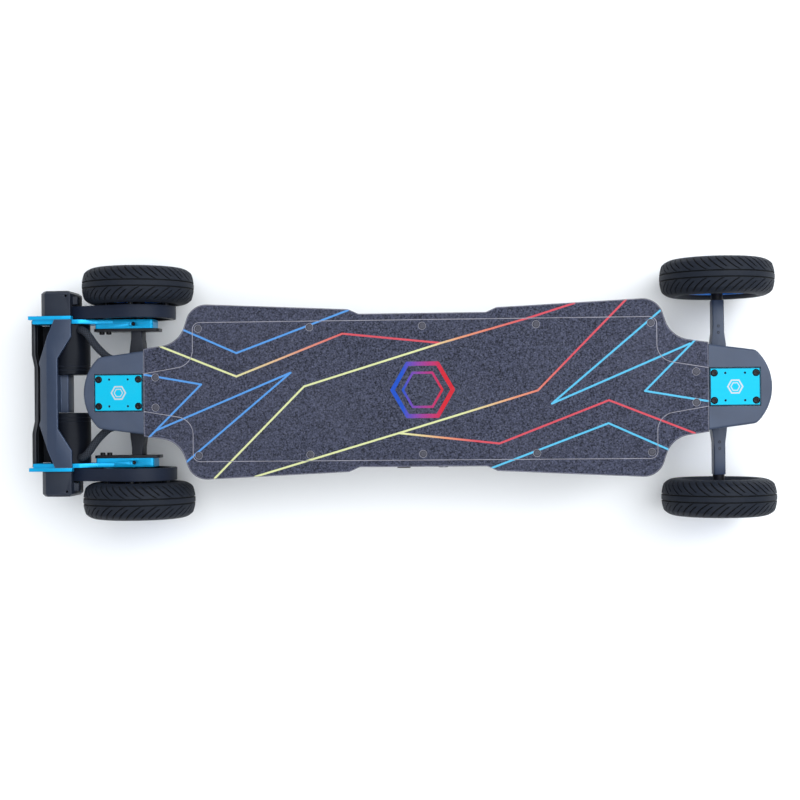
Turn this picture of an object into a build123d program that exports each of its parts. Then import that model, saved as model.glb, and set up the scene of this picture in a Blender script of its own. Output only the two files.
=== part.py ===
"""Electric all-terrain skateboard with belt-driven rear wheels.

Frame: origin under the middle of the board on the ground, +X towards the nose,
+Y to the left when facing the nose, +Z up. Millimetres.
"""
import os
from math import cos, pi, radians, sin, sqrt

from build123d import *

os.makedirs("parts", exist_ok=True)

# ---------------------------------------------------------------- driving sizes
wheelbase = 906.0
track = 337.0               # between the wheel centre planes
tyre_diameter = 175.0
tyre_width = 57.0
bead_radius = 50.8          # 4 inch rim
rim_width = 44.0
ride_height = 150.0         # ground to the top of the grip
tail_reach = 166.0          # rear axle to the back of the bumper

# deck
grip_thickness = 1.0
slab_thickness = 16.0
belly_depth = 25.0
belly_wall = 4.5
grip_half_length = 430.5
deck_half_width = 134.0
waist_half_width = 117.0
neck_half_width = 67.5
cap_end = 525.0             # tip of each end cap from the deck's middle
cap_half_width = 64.5
cap_skin = 5.0
cap_gap = 0.3
tongue_root = 10.0          # tongue carried back into the slab
lid_half_length = 353.2
lid_half_width = 106.3
lid_neck = 28.3
lid_thickness = 4.0
lid_gap = 0.4
seam_gap = 1.2
lid_hole_radius = 6.0       # opening in the grip round each lid screw
lid_screw_radius = 1.6
tapped_depth = 8.0

# belly of the deck
belly_half_length = 350.0
belly_half_width = 111.0
belly_corner = 40.0
belly_slope = 35.0
cavity_half_length = 328.0
cavity_half_width = 89.0
cavity_corner = 12.0

# truck plates and their bolts
plate_length = 75.0
plate_width = 57.0
plate_thickness = 6.0
plate_set_out = 16.5        # plate centre outboard of the axle
plate_proud = 1.0
plate_recess_gap = 0.8
bolt_spacing_x = 62.0
bolt_spacing_y = 41.3
bolt_radius = 3.0
bolt_head_radius = 5.0
bolt_head_height = 4.5
accessory_spacing_x = 29.1
accessory_radius = 1.75

# trucks
steer_angle = 45.0          # steering axis above the ground plane
seat_reach = 24.0           # axle to the kingpin seat, along the steering axis
hanger_width = 17.5
hanger_height = 28.0
baseplate_length = 100.0
baseplate_width = 60.0
baseplate_thickness = 8.0
kingpin_radius = 5.0
bushing_radius = 14.0
bushing_height = 12.0
seat_thickness = 12.0
seat_radius = 19.0
ring_bore = 7.4
pivot_radius = 6.5
cup_wall = 3.0
cup_depth = 15.0
running_gap = 0.05
hole_clearance = 0.2
bushing_clearance = 0.4

# axles and wheels
axle_radius = 6.0
axle_half_length = 194.0
collar_radius = 9.0
axle_nut_radius = 9.5
axle_nut_height = 6.5
bearing_radius = 14.0
bearing_width = 8.0
bearing_inset = 9.0         # wheel centre plane to the bearing's inner face
hub_radius = 20.0
spokes = 5

# drive
belt_pitch = 5.0
wheel_teeth = 72
motor_teeth = 18
belt_tooth_count = 92
belt_width = 20.0
belt_outer_face = 137.25    # |Y| of the belt's outboard edge
belt_back = 2.0
belt_gap = 0.3
pitch_line = 0.57           # belt pitch line outside the tooth tips
motor_rise = 4.0            # motor shaft above the axle
motor_radius = 31.5
motor_inner_face = 30.0     # |Y| of the motor's inboard end
can_wall = 3.0
shaft_radius = 4.0
motor_plate_thickness = 6.5
clamp_thickness = 7.5
jaw_thickness = 4.5
belt_to_plate = 1.25
cover_outer_y = 161.0

# ports and cables
port_radius = 6.0
port_depth = 9.5
button_radius = 4.5
cable_radius = 6.0
cable_y = 45.0

# ---------------------------------------------------------------- worked out
tyre_radius = tyre_diameter / 2
rear_axle_x = -(wheelbase + tyre_radius - tail_reach) / 2
front_axle_x = rear_axle_x + wheelbase
deck_x = rear_axle_x + wheelbase / 2
axle_z = tyre_radius
wheel_y = track / 2

skin_z = ride_height - grip_thickness
slab_z = skin_z - slab_thickness
belly_z = slab_z - belly_depth
cavity_floor = belly_z + belly_wall
lid_z = skin_z - lid_thickness
plate_top = ride_height + plate_proud
plate_z = plate_top - plate_thickness
baseplate_z = slab_z - baseplate_thickness

wheel_pitch_r = belt_pitch * wheel_teeth / (2 * pi)
motor_pitch_r = belt_pitch * motor_teeth / (2 * pi)
wheel_pulley_r = wheel_pitch_r - pitch_line
motor_pulley_r = motor_pitch_r - pitch_line
# centre distance that a belt of this many teeth gives
half_free = (belt_pitch * belt_tooth_count - pi * (wheel_pitch_r + motor_pitch_r)) / 4
pulley_step = wheel_pitch_r - motor_pitch_r
shaft_distance = half_free + sqrt(half_free**2 - pulley_step**2 / 2)
motor_x = rear_axle_x - sqrt(shaft_distance**2 - motor_rise**2)
motor_z = axle_z + motor_rise

belt_inner_face = belt_outer_face - belt_width
plate_outer_y = belt_inner_face - belt_to_plate
plate_inner_y = plate_outer_y - motor_plate_thickness
clamp_inner_y = plate_inner_y - clamp_thickness
jaw_inner_y = clamp_inner_y - jaw_thickness
bearing_outset = bearing_inset + bearing_width

ENDS = {"front": (front_axle_x, 1), "rear": (rear_axle_x, -1)}
SIDES = {"left": 1, "right": -1}


# ---------------------------------------------------------------- helpers
def save(piece, name):
    """Label a finished piece and write it to its own file."""
    piece.part.label = name
    export_step(piece.part, f"parts/{name}.step")


def four_way(quarter):
    """Corners of an outline that is the same in all four quarters."""
    lower = [(x, -y) for x, y in reversed(quarter)]
    back = [(-x, -y) for x, y in quarter]
    upper = [(-x, y) for x, y in reversed(quarter)]
    return quarter + lower + back + upper


def rounded_face(points, radii):
    """Flat face with one corner radius for each point."""
    with BuildSketch() as drawn:
        with BuildLine():
            FilletPolyline(*points, radius=radii, close=True)
        make_face()
    return drawn.sketch


def side_plane(y):
    """Lengthwise upright plane at this Y: x to the nose, y up, normal to -Y."""
    return Plane(origin=(0, y, 0), x_dir=(1, 0, 0), z_dir=(0, -1, 0))


def slice_y(face, side, y_near, y_far, mode=Mode.ADD):
    """Extrude a face drawn in X and Z between two distances from the centreline."""
    with BuildSketch(side_plane(side * y_near)) as placed:
        add(face)
    extrude(placed.sketch, amount=side * (y_near - y_far), mode=mode)


def turned(x, z, side, profile, mode=Mode.ADD):
    """Turn a profile of (radius, distance from the centreline) about a crosswise axis."""
    flat = Plane(origin=(x, 0, z), x_dir=(0, 0, 1), z_dir=(-1, 0, 0))
    with BuildSketch(flat) as section:
        with BuildLine():
            Polyline(*[(r, side * y) for r, y in profile], close=True)
        make_face()
    revolve(section.sketch, axis=Axis((x, 0, z), (0, 1, 0)), mode=mode)


def ring(inner, outer, y_near, y_far):
    """Profile of a plain ring for turned()."""
    return [(inner, y_near), (outer, y_near), (outer, y_far), (inner, y_far)]


def circle_at(x, z, radius):
    with BuildSketch() as drawn:
        with Locations((x, z)):
            Circle(radius)
    return drawn.sketch


def steer_plane(end, distance):
    """Plane square to the steering axis, this far along it from the axle."""
    axle_x, out = ENDS[end]
    angle = radians(steer_angle)
    axis = Vector(out * cos(angle), 0, sin(angle))
    return Plane(origin=Vector(axle_x, 0, axle_z) + axis * distance, x_dir=(0, 1, 0), z_dir=axis)


def kingpin_plane(end, distance):
    """Plane square to the kingpin, this far down it from the hanger's seat."""
    out = ENDS[end][1]
    angle = radians(steer_angle)
    axis = Vector(out * sin(angle), 0, -cos(angle))
    seat = steer_plane(end, seat_reach).origin
    return Plane(origin=seat + axis * distance, x_dir=(0, out, 0), z_dir=axis)


def plate_centre(end):
    axle_x, out = ENDS[end]
    return axle_x + out * plate_set_out


# ---------------------------------------------------------------- deck outlines
step_length = 16.0          # run of the slanted step at each end of the waist
waist_end = 97.0
deck_quarter = [
    (waist_end, waist_half_width),
    (waist_end + step_length, waist_half_width + 7.2),
    (355.7, deck_half_width + 1.6),
    (374.7, neck_half_width + 8.3),
    (grip_half_length, neck_half_width),
]
deck_radii = [6, 6, 32, 42, 0]
deck_face = rounded_face(four_way(deck_quarter), (deck_radii + deck_radii[::-1]) * 2)


def lid_face(grow):
    """Lid outline, larger by grow all round but flush at the neck ends."""
    quarter = [
        (lid_half_length + grow, lid_half_width + grow),
        (lid_half_length + grow, lid_neck + 13 + grow),
        (grip_half_length, lid_neck + grow),
    ]
    radii = [10 + grow, 28 - grow, 0]
    return rounded_face(four_way(quarter), (radii + radii[::-1]) * 2)


def cap_face(direction, inset, root):
    """Rounded deck end from the root line outwards, moved inwards by inset."""
    corner = (cap_end - 24 - inset, cap_half_width - 9.2 - inset)
    with BuildSketch() as drawn:
        with BuildLine():
            Polyline(
                (direction * corner[0], -corner[1]),
                (direction * root, inset - cap_half_width),
                (direction * root, cap_half_width - inset),
                (direction * corner[0], corner[1]),
            )
            ThreePointArc(
                (direction * corner[0], corner[1]),
                (direction * (cap_end - inset), 0),
                (direction * corner[0], -corner[1]),
            )
        make_face()
        outer = drawn.vertices().group_by(Axis.X)[-1 if direction > 0 else 0]
        fillet(outer, 13)
    return drawn.sketch


lid_screw_spots = [(deck_x + x, s * 97.5) for x in (-345, -172.7, 0, 172.7, 345) for s in (1, -1)]
lid_screw_spots += [(deck_x + x, s * 23.2) for x in (-412, 412) for s in (1, -1)]

# ---------------------------------------------------------------- deck shell
cable_z = slab_z - cable_radius - 2.5
port_z = slab_z + 7.0
button_x = deck_x + 30.0
charge_x = deck_x - 30.0


def edge_plane(x):
    """Plane on the right-hand edge of the waist, normal pointing outwards."""
    return Plane(origin=(x, -waist_half_width, port_z), x_dir=(1, 0, 0), z_dir=(0, -1, 0))


with BuildPart() as deck_shell:
    with BuildSketch(Plane.XY.offset(slab_z)):
        with Locations((deck_x, 0)):
            add(deck_face)
    extrude(amount=slab_thickness)
    chamfer(deck_shell.faces().sort_by(Axis.Z)[0].edges(), 2.5)
    # belly with sloped sides
    with BuildSketch(Plane.XY.offset(slab_z)):
        with Locations((deck_x, 0)):
            RectangleRounded(2 * belly_half_length, 2 * belly_half_width, belly_corner)
    extrude(amount=-belly_depth, taper=belly_slope)
    # tongues that carry the trucks
    for direction in (1, -1):
        with BuildSketch(Plane.XY.offset(slab_z)):
            with Locations((deck_x, 0)):
                add(cap_face(direction, cap_skin + cap_gap, grip_half_length - tongue_root))
        extrude(amount=plate_z - slab_z)
    # rebate for the lid, cavity for the cells and the controller
    with BuildSketch(Plane.XY.offset(lid_z)):
        with Locations((deck_x, 0)):
            add(lid_face(lid_gap))
    extrude(amount=lid_thickness, mode=Mode.SUBTRACT)
    with BuildSketch(Plane.XY.offset(cavity_floor)):
        with Locations((deck_x, 0)):
            RectangleRounded(2 * cavity_half_length, 2 * cavity_half_width, cavity_corner)
    extrude(amount=lid_z - cavity_floor, mode=Mode.SUBTRACT)
    # tapped holes under the lid
    with BuildSketch(Plane.XY.offset(lid_z)):
        with Locations(*lid_screw_spots):
            Circle(lid_screw_radius)
    extrude(amount=-tapped_depth, mode=Mode.SUBTRACT)
    # truck bolt holes through the tongues
    for end in ENDS:
        with BuildSketch(Plane.XY.offset(slab_z)):
            with Locations((plate_centre(end), 0)):
                with GridLocations(bolt_spacing_x, bolt_spacing_y, 2, 2):
                    Circle(bolt_radius + hole_clearance)
        extrude(amount=plate_z - slab_z, mode=Mode.SUBTRACT)
    # motor cable entries through the tail wall of the belly
    for side in (1, -1):
        mouth = Plane(
            origin=(deck_x - cavity_half_length + 2, side * cable_y, cable_z),
            x_dir=(0, 1, 0),
            z_dir=(-1, 0, 0),
        )
        with BuildSketch(mouth):
            Circle(cable_radius + 0.3)
        extrude(amount=40, mode=Mode.SUBTRACT)
    # sockets for the button and the charge port in the right-hand edge
    for x in (button_x, charge_x):
        with BuildSketch(edge_plane(x)):
            Circle(port_radius)
        extrude(amount=-port_depth, mode=Mode.SUBTRACT)
        with BuildSketch(edge_plane(x)):
            Circle(3)
        extrude(amount=cavity_half_width - waist_half_width - 1, mode=Mode.SUBTRACT)
save(deck_shell, "deck_shell")

with BuildPart() as deck_lid:
    with BuildSketch(Plane.XY.offset(lid_z)):
        with Locations((deck_x, 0)):
            add(lid_face(0))
        with Locations(*lid_screw_spots):
            Circle(lid_screw_radius + hole_clearance, mode=Mode.SUBTRACT)
    extrude(amount=lid_thickness)
save(deck_lid, "deck_lid")

with BuildPart() as grip_lid:
    with BuildSketch(Plane.XY.offset(skin_z)):
        with Locations((deck_x, 0)):
            add(lid_face(0))
        with Locations(*lid_screw_spots):
            Circle(lid_hole_radius, mode=Mode.SUBTRACT)
    extrude(amount=grip_thickness)
save(grip_lid, "grip_lid")

with BuildPart() as grip_rim:
    with BuildSketch(Plane.XY.offset(skin_z)):
        with Locations((deck_x, 0)):
            add(deck_face)
            add(lid_face(seam_gap), mode=Mode.SUBTRACT)
    extrude(amount=grip_thickness)
save(grip_rim, "grip_rim")

screw_head_radius = 4.6
with BuildPart() as lid_screws:
    with BuildSketch(Plane.XY.offset(skin_z)):
        with Locations(*lid_screw_spots):
            Circle(screw_head_radius)
    extrude(amount=grip_thickness - 0.2)
    with BuildSketch(Plane.XY.offset(skin_z)):
        with Locations(*lid_screw_spots):
            Circle(lid_screw_radius)
    extrude(amount=0.5 - lid_thickness - tapped_depth)
save(lid_screws, "lid_screws")

# ---------------------------------------------------------------- end caps, plates
CAPS = {"nose": ("front", 1), "tail": ("rear", -1)}
for cap_name, (end, direction) in CAPS.items():
    with BuildPart() as cap:
        with BuildSketch(Plane.XY.offset(slab_z)):
            with Locations((deck_x, 0)):
                add(cap_face(direction, 0, grip_half_length + cap_gap))
        extrude(amount=ride_height - slab_z)
        crown = cap.faces().sort_by(Axis.Z)[-1].edges()
        root_edge = crown.sort_by(Axis.X)[0 if direction > 0 else -1]
        fillet([edge for edge in crown if edge != root_edge], 4)
        # pocket that fits over the tongue
        with BuildSketch(Plane.XY.offset(slab_z)):
            with Locations((deck_x, 0)):
                add(cap_face(direction, cap_skin, grip_half_length))
        extrude(amount=plate_z - slab_z + 0.1, mode=Mode.SUBTRACT)
        # window round the truck plate
        with BuildSketch(Plane.XY.offset(plate_z)):
            with Locations((plate_centre(end), 0)):
                Rectangle(plate_length + 2 * plate_recess_gap, plate_width + 2 * plate_recess_gap)
        extrude(amount=plate_thickness, mode=Mode.SUBTRACT)
    save(cap, f"{cap_name}_cap")

for end in ENDS:
    with BuildPart() as truck_plate:
        with BuildSketch(Plane.XY.offset(plate_z)):
            with Locations((plate_centre(end), 0)):
                RectangleRounded(plate_length, plate_width, 2)
                with GridLocations(bolt_spacing_x, bolt_spacing_y, 2, 2):
                    Circle(bolt_radius + hole_clearance, mode=Mode.SUBTRACT)
                with GridLocations(accessory_spacing_x, bolt_spacing_y, 2, 2):
                    Circle(accessory_radius, mode=Mode.SUBTRACT)
        extrude(amount=plate_thickness)
        with BuildSketch(Plane.XY.offset(plate_top)):
            with Locations((plate_centre(end), 0)):
                with GridLocations(bolt_spacing_x, bolt_spacing_y, 2, 2):
                    Circle(bolt_head_radius + 0.5)
        extrude(amount=-bolt_head_height, mode=Mode.SUBTRACT)
    save(truck_plate, f"{end}_truck_plate")

nut_height = 5.0
nut_radius = 5.55
socket_radius = 2.9
socket_depth = 3.0
with BuildPart() as truck_bolts:
    for end in ENDS:
        with BuildSketch(Plane.XY.offset(plate_top - bolt_head_height)):
            with Locations((plate_centre(end), 0)):
                with GridLocations(bolt_spacing_x, bolt_spacing_y, 2, 2):
                    Circle(bolt_head_radius)
        extrude(amount=bolt_head_height - 0.2)
        with BuildSketch(Plane.XY.offset(plate_top - 0.2)):
            with Locations((plate_centre(end), 0)):
                with GridLocations(bolt_spacing_x, bolt_spacing_y, 2, 2):
                    RegularPolygon(socket_radius, 6)
        extrude(amount=-socket_depth, mode=Mode.SUBTRACT)
        with BuildSketch(Plane.XY.offset(plate_top - bolt_head_height)):
            with Locations((plate_centre(end), 0)):
                with GridLocations(bolt_spacing_x, bolt_spacing_y, 2, 2):
                    Circle(bolt_radius)
        extrude(amount=baseplate_z - nut_height - 1 - plate_top + bolt_head_height)
        with BuildSketch(Plane.XY.offset(baseplate_z)):
            with Locations((plate_centre(end), 0)):
                with GridLocations(bolt_spacing_x, bolt_spacing_y, 2, 2):
                    RegularPolygon(nut_radius, 6)
        extrude(amount=-nut_height)
save(truck_bolts, "truck_bolts")

# ---------------------------------------------------------------- inside the deck
seat_gap = 0.3              # under the cells and the controller
cell_radius = 10.85
cell_length = 70.0
cell_pitch = 22.0
cell_columns = 24
first_cell_x = deck_x + cavity_half_length - 12
with BuildPart() as battery_cells:
    for row in (1, -1):
        upright = Plane(
            origin=(0, row * 1.0, cavity_floor + seat_gap + cell_radius),
            x_dir=(1, 0, 0),
            z_dir=(0, row, 0),
        )
        with BuildSketch(upright):
            with Locations(*[(first_cell_x - i * cell_pitch, 0) for i in range(cell_columns)]):
                Circle(cell_radius)
        extrude(amount=cell_length)
save(battery_cells, "battery_cells")

controller_length = 104.0
controller_width = 140.0
controller_height = 20.0
controller_x = deck_x - cavity_half_length + 10 + controller_length / 2
fins = 9
with BuildPart() as motor_controller:
    with BuildSketch(Plane.XY.offset(cavity_floor + seat_gap)):
        with Locations((controller_x, 0)):
            RectangleRounded(controller_length, controller_width, 3)
    extrude(amount=controller_height)
    with BuildSketch(Plane.XY.offset(cavity_floor + seat_gap + controller_height)):
        with Locations((controller_x, 0)):
            with GridLocations(0, controller_width / fins, 1, fins):
                Rectangle(controller_length - 6, controller_width / fins / 3)
    extrude(amount=5)
save(motor_controller, "motor_controller")

with BuildPart() as button_ring:
    with BuildSketch(edge_plane(button_x)):
        Circle(port_radius + 1.2)
        Circle(button_radius + 0.1, mode=Mode.SUBTRACT)
    extrude(amount=1.2)
    with BuildSketch(edge_plane(button_x)):
        Circle(port_radius)
        Circle(button_radius + 0.1, mode=Mode.SUBTRACT)
    extrude(amount=-port_depth + 1)
save(button_ring, "button_ring")

with BuildPart() as power_button:
    with BuildSketch(edge_plane(button_x).offset(1.6)):
        Circle(button_radius)
    extrude(amount=-7)
save(power_button, "power_button")

with BuildPart() as charge_port:
    with BuildSketch(edge_plane(charge_x)):
        Circle(port_radius)
    extrude(amount=-port_depth + 1)
    with BuildSketch(edge_plane(charge_x)):
        SlotCenterToCenter(6, 2 * port_radius + 2.4)
    extrude(amount=1.8)
    fillet(charge_port.faces().sort_by(Axis.Y)[0].edges(), 0.8)
save(charge_port, "charge_port")

# ---------------------------------------------------------------- trucks
bushing_far = seat_thickness / 2 + bushing_height
boss_radius = 15.0
cup_mouth = -23.0           # along the steering axis, from the axle
cup_outer = pivot_radius + cup_wall
leg_near = 20.0             # inboard faces of the leg, from the axle
leg_far = 34.0
leg_width = 30.0
cup_boss_radius = 14.0
washer_height = 2.0
pin_length = 31.0
kingpin_sink = 16.5         # length of kingpin held in the baseplate
beam_half_length = {"front": wheel_y - tyre_width / 2 - 6, "rear": plate_outer_y}

for end, (axle_x, out) in ENDS.items():
    with BuildPart() as baseplate:
        with BuildSketch(Plane.XY.offset(slab_z)):
            with Locations((plate_centre(end), 0)):
                RectangleRounded(baseplate_length, baseplate_width, 8)
        extrude(amount=-baseplate_thickness)
        # boss round the kingpin, and the leg that carries the pivot cup
        with BuildSketch(kingpin_plane(end, -bushing_far)):
            Circle(boss_radius)
        extrude(amount=-30)
        with BuildSketch(Plane.XZ):
            with Locations((axle_x - out * (leg_near + leg_far) / 2, (axle_z + slab_z) / 2 - 15)):
                Rectangle(leg_far - leg_near, slab_z - axle_z + 30)
        extrude(amount=leg_width / 2, both=True)
        with BuildSketch(steer_plane(end, cup_mouth)):
            Circle(cup_boss_radius)
        extrude(amount=-cup_depth - 3)
        split(bisect_by=Plane.XY.offset(slab_z), keep=Keep.BOTTOM)
        # bores for the cup, the pivot's swing, the kingpin and the truck bolts
        with BuildSketch(steer_plane(end, cup_mouth)):
            Circle(cup_outer)
        extrude(amount=-cup_depth, mode=Mode.SUBTRACT)
        with BuildSketch(steer_plane(end, cup_mouth)):
            Circle(cup_outer)
        extrude(amount=30, mode=Mode.SUBTRACT)
        with BuildSketch(kingpin_plane(end, -bushing_far)):
            Circle(kingpin_radius)
        extrude(amount=-kingpin_sink, mode=Mode.SUBTRACT)
        with BuildSketch(kingpin_plane(end, -bushing_far)):
            Circle(bushing_radius + bushing_clearance)
        extrude(amount=bushing_height, mode=Mode.SUBTRACT)
        with BuildSketch(Plane.XY.offset(slab_z)):
            with Locations((plate_centre(end), 0)):
                with GridLocations(bolt_spacing_x, bolt_spacing_y, 2, 2):
                    Circle(bolt_radius + hole_clearance)
        extrude(amount=-baseplate_thickness - 12, mode=Mode.SUBTRACT)
    save(baseplate, f"{end}_baseplate")

    with BuildPart() as bushings:
        for near, far in ((-bushing_far, -seat_thickness / 2), (bushing_far, seat_thickness / 2)):
            with BuildSketch(kingpin_plane(end, near)):
                Circle(bushing_radius)
                Circle(kingpin_radius + hole_clearance, mode=Mode.SUBTRACT)
            extrude(amount=far - near)
    save(bushings, f"{end}_bushings")

    with BuildPart() as hanger:
        beam = beam_half_length[end]
        flare = hanger_width / 2 + 3.5
        with BuildSketch(Plane.XY.offset(axle_z - hanger_height / 2)):
            with Locations((axle_x, 0)):
                Rectangle(hanger_width, 2 * beam)
                for s in (1, -1):
                    with BuildLine():
                        Polyline(
                            (axle_x - flare, 0),
                            (axle_x - flare, s * 58),
                            (axle_x - hanger_width / 2, s * 84),
                            (axle_x + hanger_width / 2, s * 84),
                            (axle_x + flare, s * 58),
                            (axle_x + flare, 0),
                            close=True,
                        )
                    make_face()
        extrude(amount=hanger_height)
        chamfer(hanger.edges().filter_by(Axis.Y), 1.5)
        # seat ring for the bushings, with a web down to the beam
        with BuildSketch(kingpin_plane(end, -seat_thickness / 2)):
            Circle(seat_radius)
            with Locations((0, -seat_reach / 2)):
                Rectangle(2 * seat_radius, seat_reach)
        extrude(amount=seat_thickness)
        with BuildSketch(kingpin_plane(end, -seat_thickness / 2)):
            Circle(ring_bore)
        extrude(amount=seat_thickness, mode=Mode.SUBTRACT)
        for s in (1, -1):
            with BuildSketch(kingpin_plane(end, s * seat_thickness / 2)):
                Circle(bushing_radius + bushing_clearance)
            extrude(amount=s * (bushing_height + 1), mode=Mode.SUBTRACT)
        # pivot that turns in the cup
        with BuildSketch(steer_plane(end, -6)):
            Circle(pivot_radius)
        extrude(amount=1 - pin_length)
        turned(axle_x, axle_z, 1, ring(0, axle_radius, -beam - 1, beam + 1), mode=Mode.SUBTRACT)
    save(hanger, f"{end}_hanger")

    with BuildPart() as axle:
        collar_end = wheel_y - bearing_outset - 0.1
        turned(axle_x, axle_z, 1, ring(0, axle_radius, -axle_half_length, axle_half_length))
        for side in (1, -1):
            turned(axle_x, axle_z, side, ring(0, collar_radius, beam, collar_end))
    save(axle, f"{end}_axle")

    with BuildPart() as axle_nuts:
        nut_face = wheel_y + bearing_outset + 0.1
        for side in (1, -1):
            turned(axle_x, axle_z, side, ring(axle_radius, collar_radius, nut_face, nut_face + 1))
            with BuildSketch(side_plane(side * (nut_face + 1))):
                with Locations((axle_x, axle_z)):
                    RegularPolygon(axle_nut_radius, 6)
                    Circle(axle_radius, mode=Mode.SUBTRACT)
            extrude(amount=-side * axle_nut_height)
    save(axle_nuts, f"{end}_axle_nuts")

with BuildPart() as kingpins:
    for end in ENDS:
        with BuildSketch(kingpin_plane(end, -bushing_far - kingpin_sink)):
            Circle(kingpin_radius)
        extrude(amount=2 * bushing_far + kingpin_sink + washer_height + 11)
        with BuildSketch(kingpin_plane(end, bushing_far)):
            Circle(bushing_radius - 1)
        extrude(amount=washer_height)
        with BuildSketch(kingpin_plane(end, bushing_far + washer_height)):
            RegularPolygon(8.5, 6)
        extrude(amount=8)
save(kingpins, "kingpins")

with BuildPart() as pivot_cups:
    for end in ENDS:
        with BuildSketch(steer_plane(end, cup_mouth)):
            Circle(cup_outer)
        extrude(amount=-cup_depth)
        with BuildSketch(steer_plane(end, cup_mouth)):
            Circle(pivot_radius + running_gap)
        extrude(amount=-cup_depth + 1.5, mode=Mode.SUBTRACT)
save(pivot_cups, "pivot_cups")

# ---------------------------------------------------------------- wheels
rim_half = rim_width / 2
flange_radius = bead_radius + 4.2
barrel_thickness = 3.5
web_half = 6.0
window_inner = hub_radius + 4
window_outer = bead_radius - barrel_thickness - 4
spoke_width = 11.0

with BuildSketch() as window_sketch:
    Circle(window_outer)
    Circle(window_inner, mode=Mode.SUBTRACT)
    with PolarLocations(0, spokes, start_angle=90):
        with Locations((window_outer / 2 + 5, 0)):
            Rectangle(window_outer + 10, spoke_width, mode=Mode.SUBTRACT)
    fillet(window_sketch.vertices(), 3)
windows = window_sketch.sketch

tyre_wall = 5.0
shoulder_y = 20.0
half_width = tyre_width / 2
drawn_sidewall = 36.7           # rim to tread height that the section below is drawn for
section_scale = (tyre_radius - bead_radius) / drawn_sidewall
belly_r = bead_radius + 15.2 * section_scale    # where the sidewall bulges most

for end, (axle_x, out) in ENDS.items():
    for side_name, side in SIDES.items():
        name = f"{end}_{side_name}"
        flat = Plane(origin=(axle_x, side * wheel_y, axle_z), x_dir=(0, 0, 1), z_dir=(-1, 0, 0))
        wheel_axis = Axis((axle_x, 0, axle_z), (0, 1, 0))
        with BuildPart() as tyre:
            with BuildSketch(flat):
                with BuildLine():
                    for s in (1, -1):
                        bulge = (belly_r, s * half_width)
                        TangentArc(bulge, (bead_radius + 5, s * (rim_half - 2.5)), tangent=(-1, 0))
                        TangentArc(bulge, (tyre_radius - 3.6, s * shoulder_y), tangent=(1, 0))
                        Polyline(
                            (bead_radius + 5, s * (rim_half - 2.5)),
                            (bead_radius, s * (rim_half - 3.4)),
                            (bead_radius, s * (rim_half - 10)),
                            (bead_radius + 6, s * (rim_half - 7)),
                        )
                        ThreePointArc(
                            (bead_radius + 6, s * (rim_half - 7)),
                            (bead_radius + 20 * section_scale, s * (half_width - tyre_wall)),
                            (tyre_radius - 3.6 - tyre_wall, s * (shoulder_y - 3)),
                        )
                    ThreePointArc(
                        (tyre_radius - 3.6, -shoulder_y), (tyre_radius, 0), (tyre_radius - 3.6, shoulder_y)
                    )
                    ThreePointArc(
                        (tyre_radius - 3.6 - tyre_wall, 3 - shoulder_y),
                        (tyre_radius - 1 - tyre_wall, 0),
                        (tyre_radius - 3.6 - tyre_wall, shoulder_y - 3),
                    )
                make_face()
            revolve(axis=wheel_axis)
        save(tyre, f"{name}_tyre")

        rim_section = [
            (bearing_radius - 1.5, 0),
            (bead_radius - 0.3, 0),
            (bead_radius - 0.3, rim_half - 3.2),
            (flange_radius, rim_half - 2.5),
            (flange_radius, rim_half),
            (bead_radius - barrel_thickness, rim_half),
            (bead_radius - barrel_thickness, web_half),
            (hub_radius, web_half),
            (hub_radius, bearing_outset + 1),
            (bearing_radius, bearing_outset + 1),
            (bearing_radius, bearing_inset),
            (bearing_radius - 1.5, bearing_inset),
        ]
        halves = []
        for s in (1, -1):
            with BuildPart() as rim_piece:
                turned(axle_x, axle_z, side, [(r, wheel_y + s * y) for r, y in rim_section])
                with BuildSketch(side_plane(side * wheel_y)):
                    with Locations((axle_x, axle_z)):
                        add(windows)
                extrude(amount=web_half + 1, both=True, mode=Mode.SUBTRACT)
            halves.append(rim_piece.part)
        rim = Compound(label=f"{name}_rim", children=halves)
        export_step(rim, f"parts/{name}_rim.step")

        with BuildPart() as bearings:
            for s in (1, -1):
                span = (wheel_y + s * bearing_inset, wheel_y + s * bearing_outset)
                turned(axle_x, axle_z, side, ring(axle_radius + running_gap, bearing_radius, *span))
        save(bearings, f"{name}_bearings")

# ---------------------------------------------------------------- drive
pulley_web = 6.0
post_circle = bead_radius - 0.5
post_radius = 3.6
drum_radius = 50.0          # inside of the wheel pulley's toothed drum
window_circle = 32.0
window_radius = 9.0
flange_proud = 3.6
flange_thickness = 0.8


def belt_loop(grow):
    """Closed loop round both pulleys, outside their rims by grow."""
    with BuildSketch() as drawn:
        with Locations((rear_axle_x, axle_z)):
            Circle(wheel_pulley_r + grow)
        with Locations((motor_x, motor_z)):
            Circle(motor_pulley_r + grow)
        make_hull()
    return drawn.sketch


with BuildSketch() as belt_sketch:
    add(belt_loop(belt_gap + belt_back))
    add(belt_loop(belt_gap), mode=Mode.SUBTRACT)
belt_face = belt_sketch.sketch

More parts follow.
